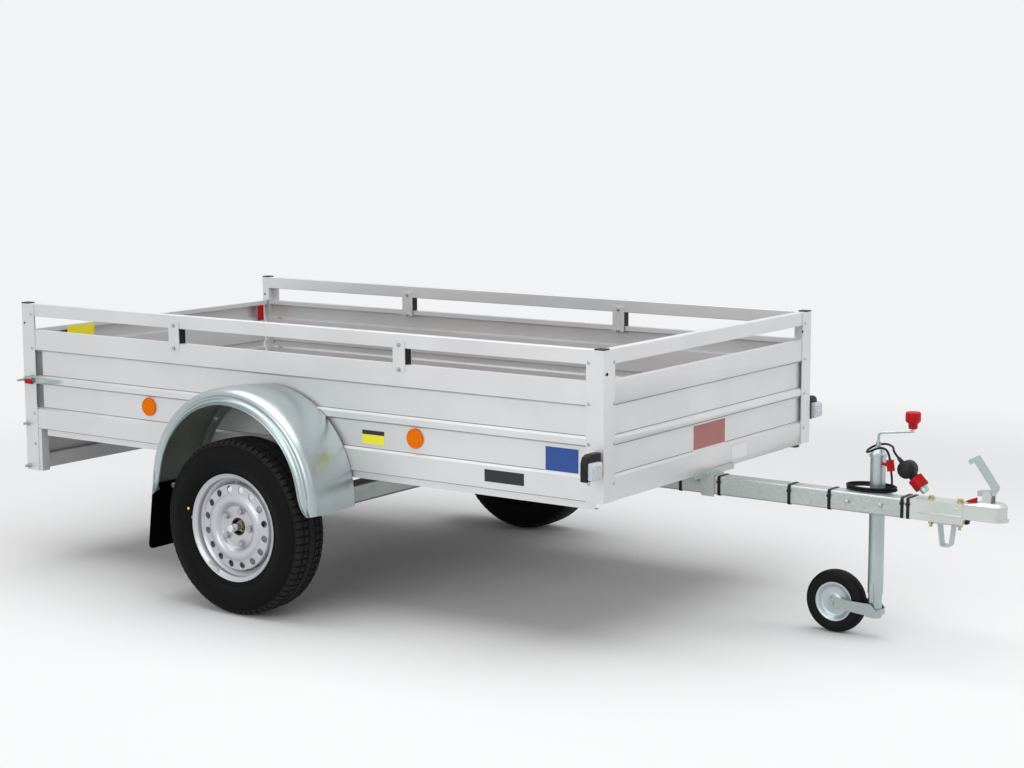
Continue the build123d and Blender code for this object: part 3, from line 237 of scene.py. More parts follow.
print("making finishes")
finishValues = {
    # metallic, roughness, dark, light, scale of the rolling lines and their stretch
    rolledAluminium: {
        "silverSheet": (0.55, 0.38, (0.65, 0.65, 0.65), (0.69, 0.69, 0.69), 40.0, (0.5, 0.5, 24.0)),
        "silverProfile": (0.55, 0.34, (0.645, 0.645, 0.645), (0.70, 0.70, 0.70), 60.0, (0.4, 0.4, 12.0))},
    # metallic, roughness, dark, light, dull tone, spangle, bloom, relief
    galvanisedSteel: {
        "galvanised": (0.75, 0.38, (0.355, 0.395, 0.38), (0.55, 0.59, 0.57), (0.46, 0.49, 0.47), 160.0, 0.35, 0.12)},
    # metallic, roughness, dark, light, spangle, stretch of the streaks
    smoothZinc: {
        "platedSteel": (0.8, 0.32, (0.365, 0.42, 0.42), (0.475, 0.535, 0.535), 300.0),
        "couplingSteel": (0.75, 0.34, (0.50, 0.535, 0.505), (0.62, 0.655, 0.62), 260.0),
        "zincSheet": (0.92, 0.28, (0.40, 0.455, 0.46), (0.47, 0.525, 0.53), 90.0, (1.0, 8.0, 1.0)),
        # the guards' inward faces: a darker copy of the zinc, painted shade
        "guardInside": (0.6, 0.5, (0.165, 0.187, 0.163), (0.255, 0.28, 0.25), 90.0),
        "rivetGrey": (0.7, 0.42, (0.34, 0.36, 0.37), (0.46, 0.48, 0.49), 700.0)},
    # metallic, roughness, dark, light, dust
    paintedMetal: {
        "darkPaint": (0.3, 0.5, (0.006, 0.006, 0.007), (0.016, 0.016, 0.017), (0.03, 0.028, 0.026)),
        "wheelSilver": (0.5, 0.33, (0.43, 0.44, 0.465), (0.57, 0.58, 0.605), (0.40, 0.38, 0.35)),
        "yellowZinc": (0.85, 0.34, (0.42, 0.35, 0.13), (0.58, 0.51, 0.24), (0.35, 0.3, 0.2)),
        "leadGrey": (0.3, 0.5, (0.46, 0.43, 0.38), (0.58, 0.55, 0.49), (0.3, 0.29, 0.27)),
        "brightZinc": (0.9, 0.26, (0.62, 0.65, 0.68), (0.82, 0.84, 0.86), (0.5, 0.5, 0.48)),
        "castorBlue": (0.6, 0.32, (0.42, 0.49, 0.51), (0.58, 0.65, 0.66), (0.4, 0.4, 0.38))},
    # roughness, gloss, share of dust, relief, dark, light, and for a road tyre:
    # (hub ahead, hub above, shoulder's and tread's radius, share and colour of the tread's tone)
    rubber: {
        "tyreRubber": (0.62, 0.12, 0.25, 0.15, (0.0015, 0.0016, 0.0016), (0.007, 0.0072, 0.0068),
                       (-0.5315, 0.289, 0.268, 0.284, 0.75, (0.022, 0.022, 0.021))),
        "castorRubber": (0.6, 0.16, 0.35, 0.12, (0.0035, 0.0036, 0.0034), (0.013, 0.0132, 0.012)),
        "blackRubber": (0.8, 0.04, 0.2, 0.15, (0.0003, 0.0003, 0.0004), (0.002, 0.002, 0.002)),
        "cableSheath": (0.5, 0.16, 0.3, 0.05, (0.004, 0.0042, 0.005), (0.014, 0.015, 0.017))},
    # roughness, grain, relief, dark, light
    mouldedPlastic: {
        "blackPlastic": (0.45, 1400.0, 0.15, (0.005, 0.0055, 0.006), (0.013, 0.0145, 0.016)),
        "redPlastic": (0.4, 1100.0, 0.1, (0.37, 0.002, 0.002), (0.46, 0.004, 0.004)),
        # seamShadow is the finish of the dark strips painted as shade lines on the walls
        "seamShadow": (0.6, 900.0, 0.05, (0.16, 0.165, 0.17), (0.22, 0.225, 0.23))},
    # roughness, gloss, coat, scale of the prisms, dark, and light, which is painted in each prism's middle as a glint
    lampLens: {
        "redLens": (0.16, 0.3, 0.3, 260.0, (0.20, 0.003, 0.004), (0.52, 0.010, 0.010)),
        "clearLens": (0.12, 0.3, 0.3, 140.0, (0.47, 0.49, 0.51), (0.63, 0.66, 0.69)),
        "amberLens": (0.30, 0.08, 0.0, 420.0, (0.70, 0.12, 0.0), (1.0, 0.31, 0.0))},
    # scale of the mesh, dark, light, scuffs
    filmFacedBoard: {
        "floorBoard": (520.0, (0.062, 0.044, 0.034), (0.108, 0.078, 0.058), (0.2, 0.18, 0.16))},
    # tone
    printedLabel: {
        "labelBlue": [(0.014, 0.062, 0.28)], "labelBlack": [(0.010, 0.010, 0.011)],
        "labelYellow": [(0.84, 0.77, 0.025)], "labelRed": [(0.36, 0.12, 0.115)],
        "labelWhite": [(0.72, 0.73, 0.74)]},
}
finishes = {name: makeFinish(name, *look) for makeFinish, looks in finishValues.items()
            for name, look in looks.items()}
nodeFinish = {
    "silverSheet": "side_panel_right side_panel_left front_panel tailgate light_beam",
    "silverProfile": "front_posts rear_posts rear_legs side_rails front_rail rail_straps",
    "galvanised": "crossmembers hinge_pins axle_beam swing_arms axle_hangers drawbar drawbar_saddle axle_saddle",
    "couplingSteel": "coupling_head",
    "platedSteel": "gate_latches coupling_lever safety_loop jockey_tube jockey_clamp jockey_crank "
                   "jockey_leg_tube castor_fork castor_rim",
    "zincSheet": "mudguard_right mudguard_left",
    "wheelSilver": "rim_right rim_left",
    "darkPaint": "hub_right hub_left",
    "yellowZinc": "axle_nuts",
    "tyreRubber": "tyre_right tyre_left",
    "castorRubber": "castor_tyre",
    "blackRubber": "mudflaps axle_rubbers",
    "blackPlastic": "post_caps strap_blocks plate_lamps tail_lamp_housings marker_brackets cable_gland plug_body",
    "redPlastic": "crank_knob plug_park plug_collar",
    "cableSheath": "cable_run cable_coil cable_lead cable_loop",
    "redLens": "tail_lamp_lenses",
    "clearLens": "marker_lenses",
    "amberLens": "reflectors",
    "floorBoard": "floor_panel",
}
for finishName, nodeNames in nodeFinish.items():
    for nodeName in nodeNames.split():
        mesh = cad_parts[nodeName].data
        mesh.materials.clear()
        mesh.materials.append(finishes[finishName])


# ---- modelling helpers
def fromRear(station):
    # metres ahead of the rear posts, as a place along the trailer
    return station - 1.7465


def linked(piece):
    bpy.context.scene.collection.objects.link(piece)
    return piece


def activate(piece):
    bpy.ops.object.select_all(action="DESELECT")
    piece.select_set(True)
    bpy.context.view_layer.objects.active = piece


def startPiece(name, addPrimitive, **settings):
    bpy.ops.object.select_all(action="DESELECT")
    addPrimitive(**settings)
    piece = bpy.context.object
    piece.name = name
    bpy.ops.object.transform_apply(location=True, rotation=True, scale=True)
    return piece


def startCylinder(name, sides, radius, depth, low=0.0):
    # an upright cylinder about the origin's Z line, from low to low + depth
    return startPiece(name, bpy.ops.mesh.primitive_cylinder_add, vertices=sides, radius=radius, depth=depth,
                      location=(0, 0, depth / 2 + low))


def pick(piece, test, mode="FACE"):
    # selects what passes a test of its middle and its normal (of its middle and itself for an edge)
    bpy.ops.mesh.select_mode(type=mode)
    bpy.ops.mesh.select_all(action="DESELECT")
    shape = bmesh.from_edit_mesh(piece.data)
    if mode == "FACE":
        chosen = [face for face in shape.faces if test(face.calc_center_median(), face.normal)]
    elif mode == "EDGE":
        chosen = [edge for edge in shape.edges if test((edge.verts[0].co + edge.verts[1].co) / 2, edge)]
    else:
        chosen = [vertex for vertex in shape.verts if test(vertex.co, vertex.normal)]
    for part in chosen:
        part.select_set(True)
    shape.select_flush_mode()
    bmesh.update_edit_mesh(piece.data)


def selectAll():
    bpy.ops.mesh.select_all(action="SELECT")


def edit(piece, test=None, mode="FACE"):
    # enters edit mode with what passes the test selected, or everything
    activate(piece)
    bpy.ops.object.mode_set(mode="EDIT")
    if test:
        pick(piece, test, mode)
    else:
        bpy.ops.mesh.select_mode(type=mode)
        selectAll()


def leave():
    bpy.ops.object.mode_set(mode="OBJECT")


def isTop(place, normal):
    return normal.z > 0.9


def bevelled(piece, test, width, segments=1, mode="FACE"):
    # bevels what passes the test
    edit(piece, test, mode)
    bpy.ops.mesh.bevel(offset=width, segments=segments)
    leave()
    return piece


def dished(piece, test, inset, shift=(0, 0, 0)):
    # insets the faces that pass the test and moves the inner ones
    edit(piece, test)
    bpy.ops.mesh.inset(thickness=inset)
    bpy.ops.transform.translate(value=shift)
    leave()
    return piece


def runsAhead(edge, least):
    # whether an edge spans more than this along the trailer
    return abs(edge.verts[0].co.x - edge.verts[1].co.x) > least


seamGap = 0.00002


def closeSeams(gap=seamGap):
    # merges what meets and turns the faces outwards
    selectAll()
    bpy.ops.mesh.remove_doubles(threshold=gap)
    bpy.ops.mesh.normals_make_consistent(inside=False)


def modify(piece, kind, **settings):
    activate(piece)
    modifier = piece.modifiers.new(kind.lower(), kind)
    for key, value in settings.items():
        setattr(modifier, key, value)
    bpy.ops.object.modifier_apply(modifier=modifier.name)


def soften(piece, width, segments=2):
    modify(piece, "BEVEL", width=width, segments=segments, limit_method="ANGLE")


def settle(piece, finishName, body="chassis", replaced=(), angle=38.0):
    # smooth shading, finish, the body that the piece rides on and the nodes that it replaces
    activate(piece)
    bpy.ops.object.shade_smooth_by_angle(angle=math.radians(angle))
    piece.data.materials.clear()
    piece.data.materials.append(finishes[finishName])
    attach(piece, body)
    if replaced:
        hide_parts(*replaced)


def profileRing(name, profile, centre, closed=True):
    # a ring, or an open line, of points above the centre: (radius, along +Y)
    ring = startPiece(name, bpy.ops.mesh.primitive_circle_add, vertices=len(profile), radius=0.1,
                      location=centre)
    for vertex, (radius, along) in zip(ring.data.vertices, profile):
        vertex.co = Vector(centre) + Vector((0, along, radius))
    ends = {0, len(profile) - 1}
    edit(ring, lambda place, edge: {v.index for v in edge.verts} == ends, "EDGE")
    if not closed:
        bpy.ops.mesh.delete(type="EDGE")
    selectAll()
    return ring


def spin(centre, steps, angle, **more):
    # turns what is selected about the centre's +Y line
    bpy.ops.mesh.spin(steps=steps, angle=angle, center=centre, axis=(0, 1, 0), **more)


def copiedRound(centre, count):
    # copies one pitch of a round piece all the way round and joins the copies
    selectAll()
    spin(centre, count - 1, math.radians(360.0 - 360.0 / count), dupli=True)
    closeSeams(0.00005)


def spun(name, profile, centre, steps):
    piece = profileRing(name, profile, centre)
    spin(centre, steps, math.tau)
    closeSeams()
    leave()
    return piece


def lathe(name, profile, centre, steps):
    # a profile of (radius, height) that starts and ends on the upright axis, turned about it
    piece = profileRing(name, [(height, 0.0) for _, height in profile], centre, closed=False)
    for vertex, (radius, _) in zip(bmesh.from_edit_mesh(piece.data).verts, profile):
        vertex.co.x = centre[0] + radius
    bpy.ops.mesh.spin(steps=steps, angle=math.tau, center=centre, axis=(0, 0, 1))
    closeSeams()
    leave()
    return piece


def boxPiece(name, low, high, bevel=0.0, segments=2):
    middle = [(a + b) / 2 for a, b in zip(low, high)]
    size = [b - a for a, b in zip(low, high)]
    piece = startPiece(name, bpy.ops.mesh.primitive_cube_add, size=1, location=middle, scale=size)
    if bevel:
        soften(piece, bevel, segments)
    return piece


def sidedBox(name, side, low, high, bevel=0.0, segments=2):
    # a box given by its distances outwards from the middle line, on one side
    y0, y1 = sorted((side * low[1], side * high[1]))
    return boxPiece(name, (low[0], y0, low[2]), (high[0], y1, high[2]), bevel, segments)


def joined(name, pieces):
    bpy.ops.object.select_all(action="DESELECT")
    for piece in pieces:
        piece.select_set(True)
    bpy.context.view_layer.objects.active = pieces[0]
    bpy.ops.object.join()
    pieces[0].name = name
    return pieces[0]


def scattered(name, model, places):
    # copies of a small model, each with its own mesh, joined as one piece
    copies = []
    for place in places:
        copy = model.copy()
        copy.data = model.data.copy()
        copy.data.transform(place)
        copies.append(linked(copy))
    bpy.data.objects.remove(model)
    return joined(name, copies)


def mirroredCopy(piece):
    # the same piece on the trailer's left side
    copy = piece.copy()
    copy.data = piece.data.copy()
    copy.name = piece.name.replace("Right", "Left")
    linked(copy)
    copy.data.transform(Matrix.Diagonal((1, -1, 1, 1)))
    edit(copy)
    bpy.ops.mesh.flip_normals()
    leave()
    return copy


def settlePair(piece, finishName, replaced=(), angle=38.0):
    settle(mirroredCopy(piece), finishName, angle=angle)
    settle(piece, finishName, replaced=replaced, angle=angle)


def copiedNode(name, node, plane, normal, **cleared):
    # a merged copy of a node's mesh, cut at a plane
    piece = linked(bpy.data.objects.new(name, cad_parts[node].data.copy()))
    edit(piece)
    closeSeams()
    bpy.ops.mesh.bisect(plane_co=plane, plane_no=normal, use_fill=True, **cleared)
    leave()
    return piece


def facing(place, direction, roll=0.0):
    # puts a model made about +Z at a place, looking along a direction
    turn = Vector(direction).to_track_quat("Z", "Y").to_matrix().to_4x4()
    return Matrix.Translation(place) @ turn @ Matrix.Rotation(roll, 4, "Z")


def outwards(x, side, half, z, roll=0.0):
    # puts a model on a side face, looking away from the middle line
    return facing((x, side * half, z), (0, side, 0), roll)


sides = ((-1, "Right"), (1, "Left"))
# a hexagon's width across its flats over its corners' radius
hexagon = 1.732

# ---- road wheels
wheelCentre = (fromRear(1.215), -0.8095, 0.289)
tyreValues = {
    "pitches": 72, "slotTurn": 1.3, "treadRadius": 0.2889, "crownDrop": 0.0023, "crownHalf": 0.054,
    "blockRadius": 0.28, "grooveDepth": 0.0065,
    "grooves": ((0.0350, 0.0415), (0.0115, 0.0180)), "grooveSlope": 0.0009, "treadHalf": 0.052,
    "slotDepth": 0.0060, "slotFoot": 0.272, "slotHalf": 0.0025, "slotBlocks": ((0.0181, 0.0349), (0.0416, 0.0655)),
    "sidewall": ((0.1662, 0.044), (0.1662, 0.0515), (0.1685, 0.0545), (0.1762, 0.0582), (0.1795, 0.0592),
                 (0.1815, 0.0618), (0.1845, 0.0652), (0.1885, 0.0662), (0.1905, 0.0654), (0.1925, 0.0668),
                 (0.2010, 0.0722), (0.2120, 0.0758), (0.2230, 0.0772), (0.2262, 0.0774), (0.2275, 0.0766),
                 (0.2292, 0.0766), (0.2305, 0.0773), (0.2400, 0.0766), (0.2510, 0.0745), (0.2600, 0.0716),
                 (0.2660, 0.0692), (0.2675, 0.0672), (0.2700, 0.0676), (0.2770, 0.0640), (0.2822, 0.0606),
                 (0.2852, 0.0566)),
}


def treadHeight(across):
    return tyreValues["treadRadius"] - tyreValues["crownDrop"] * (across / tyreValues["crownHalf"]) ** 2


def bothFlanks(half):
    return list(half) + [(radius, -along) for radius, along in reversed(half)]


def tyreProfile():
    slope = tyreValues["grooveSlope"]
    half = list(tyreValues["sidewall"]) + [(treadHeight(tyreValues["treadHalf"]), tyreValues["treadHalf"])]
    for near, far in tyreValues["grooves"]:
        floor = treadHeight(far) - tyreValues["grooveDepth"]
        half += [(treadHeight(far), far), (floor, far - slope), (floor, near + slope), (treadHeight(near), near)]
    return bothFlanks(half)


def makeTyre():
    centre = wheelCentre
    tyre = profileRing("roadTyreRight", tyreProfile(), centre)
    slotTurn = math.radians(tyreValues["slotTurn"])
    spin(centre, 1, slotTurn)
    spin(centre, 2, math.radians(360.0 / tyreValues["pitches"]) - slotTurn)
    closeSeams()
    slotMiddle = -math.tan(slotTurn / 2) * tyreValues["blockRadius"]

    def inSlot(place, normal):
        across = abs(place.y - centre[1])
        block = any(near < across < far for near, far in tyreValues["slotBlocks"])
        return (block and place.z - centre[2] > tyreValues["slotFoot"]
                and abs(place.x - centre[0] - slotMiddle) < tyreValues["slotHalf"])

    pick(tyre, inSlot)
    bpy.ops.mesh.extrude_region_move(TRANSFORM_OT_translate={"value": (0, 0, -tyreValues["slotDepth"])})
    copiedRound(centre, tyreValues["pitches"])
    leave()
    return tyre


# one flank of the rim's ring: inside, lip, then the tyre's seat
barrelHalf = (
    (0.1436, 0.0245), (0.1472, 0.0282), (0.1570, 0.0355), (0.1610, 0.0382), (0.1615, 0.0500), (0.1628, 0.0553),
    (0.1675, 0.0588), (0.1734, 0.0604), (0.1744, 0.0624), (0.1760, 0.0634), (0.1776, 0.0629), (0.1785, 0.0612),
    (0.1781, 0.0598), (0.1700, 0.0562), (0.1657, 0.0530), (0.1651, 0.0490), (0.1645, 0.0360), (0.1600, 0.0330),
    (0.1500, 0.0255), (0.1470, 0.0215),
)
discValues = {
    "front": ((0.0290, 0.0338), (0.0305, 0.0343), (0.0600, 0.0343), (0.0660, 0.0345), (0.0692, 0.0362),
              (0.0725, 0.0402), (0.0775, 0.0470), (0.0835, 0.0532), (0.0895, 0.0558), (0.0950, 0.0562),
              (0.1005, 0.0553), (0.1050, 0.0534), (0.1090, 0.0506), (0.1122, 0.0484), (0.1260, 0.0464),
              (0.1396, 0.0454), (0.1410, 0.0448), (0.1422, 0.0430), (0.1428, 0.0385), (0.1429, 0.0080)),
    "count": 16, "columns": 4, "ventCircle": 0.1260, "ventRadius": 0.0122, "lip": 0.006, "sheet": 0.0034,
}
ventValues = {
    "inset": 0.0012,
    # how many vent radii away its rim is looked for, its surround is kept and its edge is found
    "search": 1.5, "surround": 1.22, "edge": 1.05,
}


def pressedDisc(name, centre, values, side=-1, levels=2):
    # one pressed sector with its hole, copied round, then given the sheet's thickness
    profile = [(radius, side * along) for radius, along in values["front"]]
    sector = 360.0 / values["count"]
    radius = values["ventRadius"]
    disc = profileRing(name, profile, centre, closed=False)
    spin(centre, values["columns"], math.radians(sector))
    middle = math.radians(sector / 2)
    hole = Vector(centre) + values["ventCircle"] * Vector((-math.sin(middle), 0, math.cos(middle)))
    step = values["ventCircle"] * math.radians(sector / values["columns"])

    def fromHole(place):
        return Vector((place.x - hole.x, 0, place.z - hole.z))

    def pushTo(vertex, reach):
        flat = fromHole(vertex.co).normalized() * reach
        vertex.co = Vector((hole.x + flat.x, vertex.co.y, hole.z + flat.z))

    pick(disc, lambda place, normal: fromHole(place).length < step)
    bpy.ops.mesh.inset(thickness=ventValues["inset"])
    bpy.ops.mesh.delete(type="FACE")
    shape = bmesh.from_edit_mesh(disc.data)
    for vertex in shape.verts:
        if vertex.is_boundary and fromHole(vertex.co).length < ventValues["search"] * radius:
            pushTo(vertex, radius)
    surround = ventValues["surround"] * radius
    for vertex in shape.verts:
        if not vertex.is_boundary and 0 < fromHole(vertex.co).length < surround:
            pushTo(vertex, surround)
    bmesh.update_edit_mesh(disc.data)
    edgeFrom = ventValues["edge"] * radius
    pick(disc, lambda place, edge: edge.is_boundary and fromHole(place).length < edgeFrom, "EDGE")
    bpy.ops.mesh.extrude_edges_move(TRANSFORM_OT_translate={"value": (0, -side * values["lip"], 0)})
    copiedRound(centre, values["count"])
    upper = [face.normal.y for face in bmesh.from_edit_mesh(disc.data).faces
             if face.calc_center_median().z > centre[2] and abs(face.normal.y) > 0.9]
    if sum(upper) * side < 0:
        bpy.ops.mesh.flip_normals()
    leave()
    modify(disc, "SOLIDIFY", thickness=values["sheet"], offset=-1)
    modify(disc, "SUBSURF", levels=levels, render_levels=levels)
    return disc


boltValues = {
    "count": 5, "circle": 0.056, "across": 0.0180, "height": 0.0138, "seat": 0.0343, "crown": 0.0024,
    "dish": 0.0030, "dishDepth": 0.0012, "collar": (0.0128, 0.0024), "collarEdge": 0.0010, "turn": 0.3,
}


def makeWheelBolts():
    # domed hexagon heads over the hub's bolts
    values = boltValues
    head = startCylinder("wheelBolt", 6, values["across"] / hexagon, values["height"])
    bevelled(head, isTop, values["crown"], 3)
    dished(head, lambda place, normal: normal.z > 0.98, values["dish"], (0, 0, -values["dishDepth"]))
    seat = bevelled(startCylinder("boltSeat", 24, *values["collar"]), isTop, values["collarEdge"], 2)
    places = []
    for i in range(values["count"]):
        angle = math.tau * i / values["count"]
        spot = values["circle"] * math.cos(angle), -values["seat"], values["circle"] * math.sin(angle)
        places.append(facing(Vector(wheelCentre) + Vector(spot), (0, -1, 0), values["turn"] * i))
    return scattered("wheelBoltsRight", joined("wheelBolt", [head, seat]), places)


stubValues = {
    "end": 0.8590,
    "profile": ((0.0001, 0.0), (0.0128, 0.0), (0.0128, -0.0010), (0.0124, -0.0016), (0.0124, -0.0070),
                (0.0118, -0.0076), (0.0118, -0.0215), (0.0108, -0.0232), (0.0050, -0.0240), (0.0001, -0.0240)),
}


def makeStubEnds():
    # bright turned end of the stub axle beyond its nut
    centre = (wheelCentre[0], -stubValues["end"], wheelCentre[2])
    settlePair(spun("stubEndRight", stubValues["profile"], centre, 36), "brightZinc", angle=30)


# name: (ahead of the wheel's centre, out from its middle, above it)
markValues = {"tyreMarkFirstRight": (-0.1866, -0.0706, 0.0453), "tyreMarkSecondRight": (-0.1819, -0.0618, 0.0149)}
markSize = {"radius": 0.0046, "thick": 0.0010, "edge": 0.0003}
weightValues = {"half": (0.024, 0.004, 0.0035), "edge": 0.002, "spot": (-0.0880, -0.0605, -0.1370), "turn": 32.7}


def makeTyreMark(name):
    # a small painted dot on the sidewall
    dot = startCylinder(name, 20, markSize["radius"], markSize["thick"], -markSize["thick"] / 2)
    bevelled(dot, isTop, markSize["edge"])
    dot.data.transform(facing(Vector(wheelCentre) + Vector(markValues[name]), (0, -1, 0)))
    return dot


def makeWheels():
    tyre = makeTyre()
    rim = joined("wheelRimRight", [spun("wheelBarrelRight", bothFlanks(barrelHalf), wheelCentre, 96),
                                   pressedDisc("wheelDiscRight", wheelCentre, discValues)])
    half = weightValues["half"]
    weight = boxPiece("balanceWeightRight", [-size for size in half], half, weightValues["edge"])
    weight.data.transform(Matrix.Translation(Vector(wheelCentre) + Vector(weightValues["spot"]))
                          @ Matrix.Rotation(math.radians(weightValues["turn"]), 4, "Y"))
    bolts = makeWheelBolts()
    marks = [makeTyreMark(name) for name in markValues]
    rows = ((tyre, "tyreRubber", ["tyre_"], 30), (rim, "wheelSilver", ["rim_"], 50), (weight, "leadGrey", [], 38),
            (bolts, "rivetGrey", [], 38), (marks[0], "labelYellow", [], 38), (marks[1], "leadGrey", [], 38))
    for side in ("right", "left"):
        for piece, finishName, stems, angle in rows:
            part = piece if side == "right" else mirroredCopy(piece)
            settle(part, finishName, "wheel_" + side, [stem + side for stem in stems], angle)


# ---- mudguards
guardValues = {
    "centre": (fromRear(1.210), -0.6584, 0.390), "steps": 80, "sheet": 0.0012, "endDrop": 0.024,
    "cornerHeight": 0.078, "edgeRadius": 0.3500, "skirtFrom": 0.2100, "leastKept": 0.25,
    "endSteps": 4, "topFrom": 0.34, "insideShadeFrom": 0.335, "shadeFacingIn": -0.12,
    "section": ((0.3100, 0.0006), (0.3260, 0.0006), (0.3410, 0.0008), (0.3450, 0.0018), (0.3466, 0.0050),
                (0.3492, 0.0300), (0.3532, 0.0750), (0.3560, 0.1200), (0.3568, 0.1600), (0.3552, 0.1900),
                (0.3534, 0.2030), (0.3500, 0.2125), (0.3455, 0.2188), (0.3405, 0.2220), (0.3365, 0.2226),
                (0.3335, 0.2208), (0.3302, 0.2176), (0.3268, 0.2164), (0.3236, 0.2182), (0.3204, 0.2238),
                (0.3174, 0.2278), (0.3142, 0.2280), (0.3114, 0.2250), (0.3092, 0.2226), (0.3072, 0.2232),
                (0.3056, 0.2266), (0.3046, 0.2300), (0.3038, 0.2314), (0.3034, 0.2304)),
}
flapValues = {
    "front": fromRear(0.8662), "outer": 0.8760, "inner": 0.6900, "top": 0.3960, "bottom": 0.1720,
    "thick": 0.0040, "lean": 0.150, "bend": 0.035, "corner": 0.020, "boltHeight": 0.380,
    "bolts": (0.860, 0.785, 0.712), "boltRoll": 0.2,
}


def roundCorners(shape):
    # draws the skirt's lower corners back towards the guard's edge
    values = guardValues
    centre = values["centre"]
    foot = centre[2] - values["endDrop"]
    for vertex in shape.verts:
        across = vertex.co.x - centre[0]
        height = max(vertex.co.z - centre[2], 0.0)
        radius = math.hypot(across, height)
        depth = values["edgeRadius"] - radius
        rise = (vertex.co.z - foot) / values["cornerHeight"]
        if vertex.co.y - centre[1] > -values["skirtFrom"] or depth <= 0 or rise >= 1:
            continue
        kept = max(math.sqrt(max(1 - (1 - rise) ** 2, 0.0)), values["leastKept"])
        scale = (values["edgeRadius"] - depth * kept) / radius
        vertex.co.x = centre[0] + across * scale
        if vertex.co.z > centre[2]:
            vertex.co.z = centre[2] + height * scale


def makeGuards():
    # a pressed section turned over the wheel, with short straight ends and rounded lower corners; its faces that look
    # in towards the wheel get a darker copy of the zinc as painted shade
    values = guardValues
    centre = values["centre"]
    profile = [(radius, -along) for radius, along in values["section"]]
    guard = profileRing("roundGuardRight", profile, centre, closed=False)
    for vertex in bmesh.from_edit_mesh(guard.data).verts:
        vertex.co = Vector((centre[0] - (vertex.co.z - centre[2]), vertex.co.y, centre[2]))
    spin(centre, values["steps"], -math.pi)
    selectAll()
    bpy.ops.mesh.remove_doubles(threshold=seamGap)
    drop = values["endDrop"] / values["endSteps"]
    for _ in range(values["endSteps"]):
        low = min(vertex.co.z for vertex in bmesh.from_edit_mesh(guard.data).verts) + 0.0005
        pick(guard, lambda place, edge: edge.is_boundary and place.z < low, "EDGE")
        bpy.ops.mesh.extrude_edges_move(TRANSFORM_OT_translate={"value": (0, 0, -drop)})
    shape = bmesh.from_edit_mesh(guard.data)
    roundCorners(shape)
    bmesh.update_edit_mesh(guard.data)
    top = [face.normal.z for face in shape.faces if face.calc_center_median().z > centre[2] + values["topFrom"]]
    if sum(top) < 0:
        selectAll()
        bpy.ops.mesh.flip_normals()
    leave()
    modify(guard, "SOLIDIFY", thickness=values["sheet"], offset=-1)
    for side in ("right", "left"):
        piece = guard if side == "right" else mirroredCopy(guard)
        settle(piece, "zincSheet", replaced=["mudguard_" + side], angle=50)
        # a darker second finish painted as shade on the faces that look in towards the wheel
        piece.data.materials.append(finishes["guardInside"])
        for face in piece.data.polygons:
            ahead, up = face.center.x - centre[0], max(face.center.z - centre[2], 0.0)
            reach = math.hypot(ahead, up)
            outward = face.normal.x * ahead + face.normal.z * up
            if reach > values["insideShadeFrom"] and outward < values["shadeFacingIn"] * reach:
                face.material_index = 1


def makeFlaps():
    # rubber flaps bolted inside the guards' rear ends, with rounded lower corners
    values = flapValues
    front, bottom = values["front"], values["bottom"]
    flap = boxPiece("mudFlapRight", (front - values["thick"], -values["outer"], bottom),
                    (front, -values["inner"], values["top"]))
    bevelled(flap, lambda place, edge: runsAhead(edge, 0.002) and place.z < bottom + 0.01, values["corner"], 5,
             "EDGE")
    for vertex in flap.data.vertices:
        vertex.co.x -= values["lean"] * max(values["top"] - values["bend"] - vertex.co.z, 0.0)
    settlePair(flap, "blackRubber", ["mudflaps"])
    places = [facing((front, side * y, values["boltHeight"]), (1, 0, 0), values["boltRoll"])
              for side in (-1, 1) for y in values["bolts"]]
    settle(scattered("flapBolts", boltModel(*fastenerValues["guard"]), places), "brightZinc")


# ---- jockey wheel, crank knob
castorValues = {
    "centre": (fromRear(2.917), 0.058, 0.100),
    "tyre": ((0.0632, 0.0215), (0.0645, 0.0230), (0.0680, 0.0236), (0.0730, 0.0248), (0.0840, 0.0249),
             (0.0885, 0.0238), (0.0935, 0.0200), (0.0972, 0.0150), (0.0988, 0.0098), (0.0989, 0.0086),
             (0.0981, 0.0078), (0.0981, 0.0066), (0.0993, 0.0058), (0.0999, 0.0012)),
    "front": ((0.0078, 0.0258), (0.0100, 0.0260), (0.0128, 0.0252), (0.0148, 0.0225), (0.0165, 0.0160),
              (0.0200, 0.0125), (0.0250, 0.0116), (0.0340, 0.0110), (0.0430, 0.0108), (0.0470, 0.0118),
              (0.0510, 0.0160), (0.0555, 0.0208), (0.0600, 0.0226), (0.0622, 0.0225), (0.0630, 0.0215)),
    "count": 4, "columns": 12, "ventCircle": 0.0340, "ventRadius": 0.0048, "lip": 0.002, "sheet": 0.0016,
}
knobValues = {
    "foot": (fromRear(3.160), 0.058, 0.6681),
    "profile": ((0, 0.0), (0.0120, 0.0), (0.0138, 0.0014), (0.0140, 0.0060), (0.0140, 0.0130),
                (0.0152, 0.0165), (0.0190, 0.0198), (0.0222, 0.0225), (0.0233, 0.0262), (0.0235, 0.0320),
                (0.0234, 0.0460), (0.0226, 0.0500), (0.0205, 0.0520), (0.0150, 0.0527), (0, 0.0529)),
}


def makeCastor():
    centre = castorValues["centre"]
    tyre = spun("castorTyreRound", bothFlanks(castorValues["tyre"]), centre, 72)
    settle(tyre, "castorRubber", "jockey_wheel", ["castor_tyre"], 40)
    dish = joined("castorDish", [pressedDisc("castorDishNear", centre, castorValues, -1, 1),
                                 pressedDisc("castorDishFar", centre, castorValues, 1, 1)])
    settle(dish, "castorBlue", "jockey_wheel", ["castor_rim"], 50)


def makeKnob():
    knob = lathe("crankHandle", knobValues["profile"], knobValues["foot"], 48)
    settle(knob, "redPlastic", replaced=["crank_knob"], angle=60)


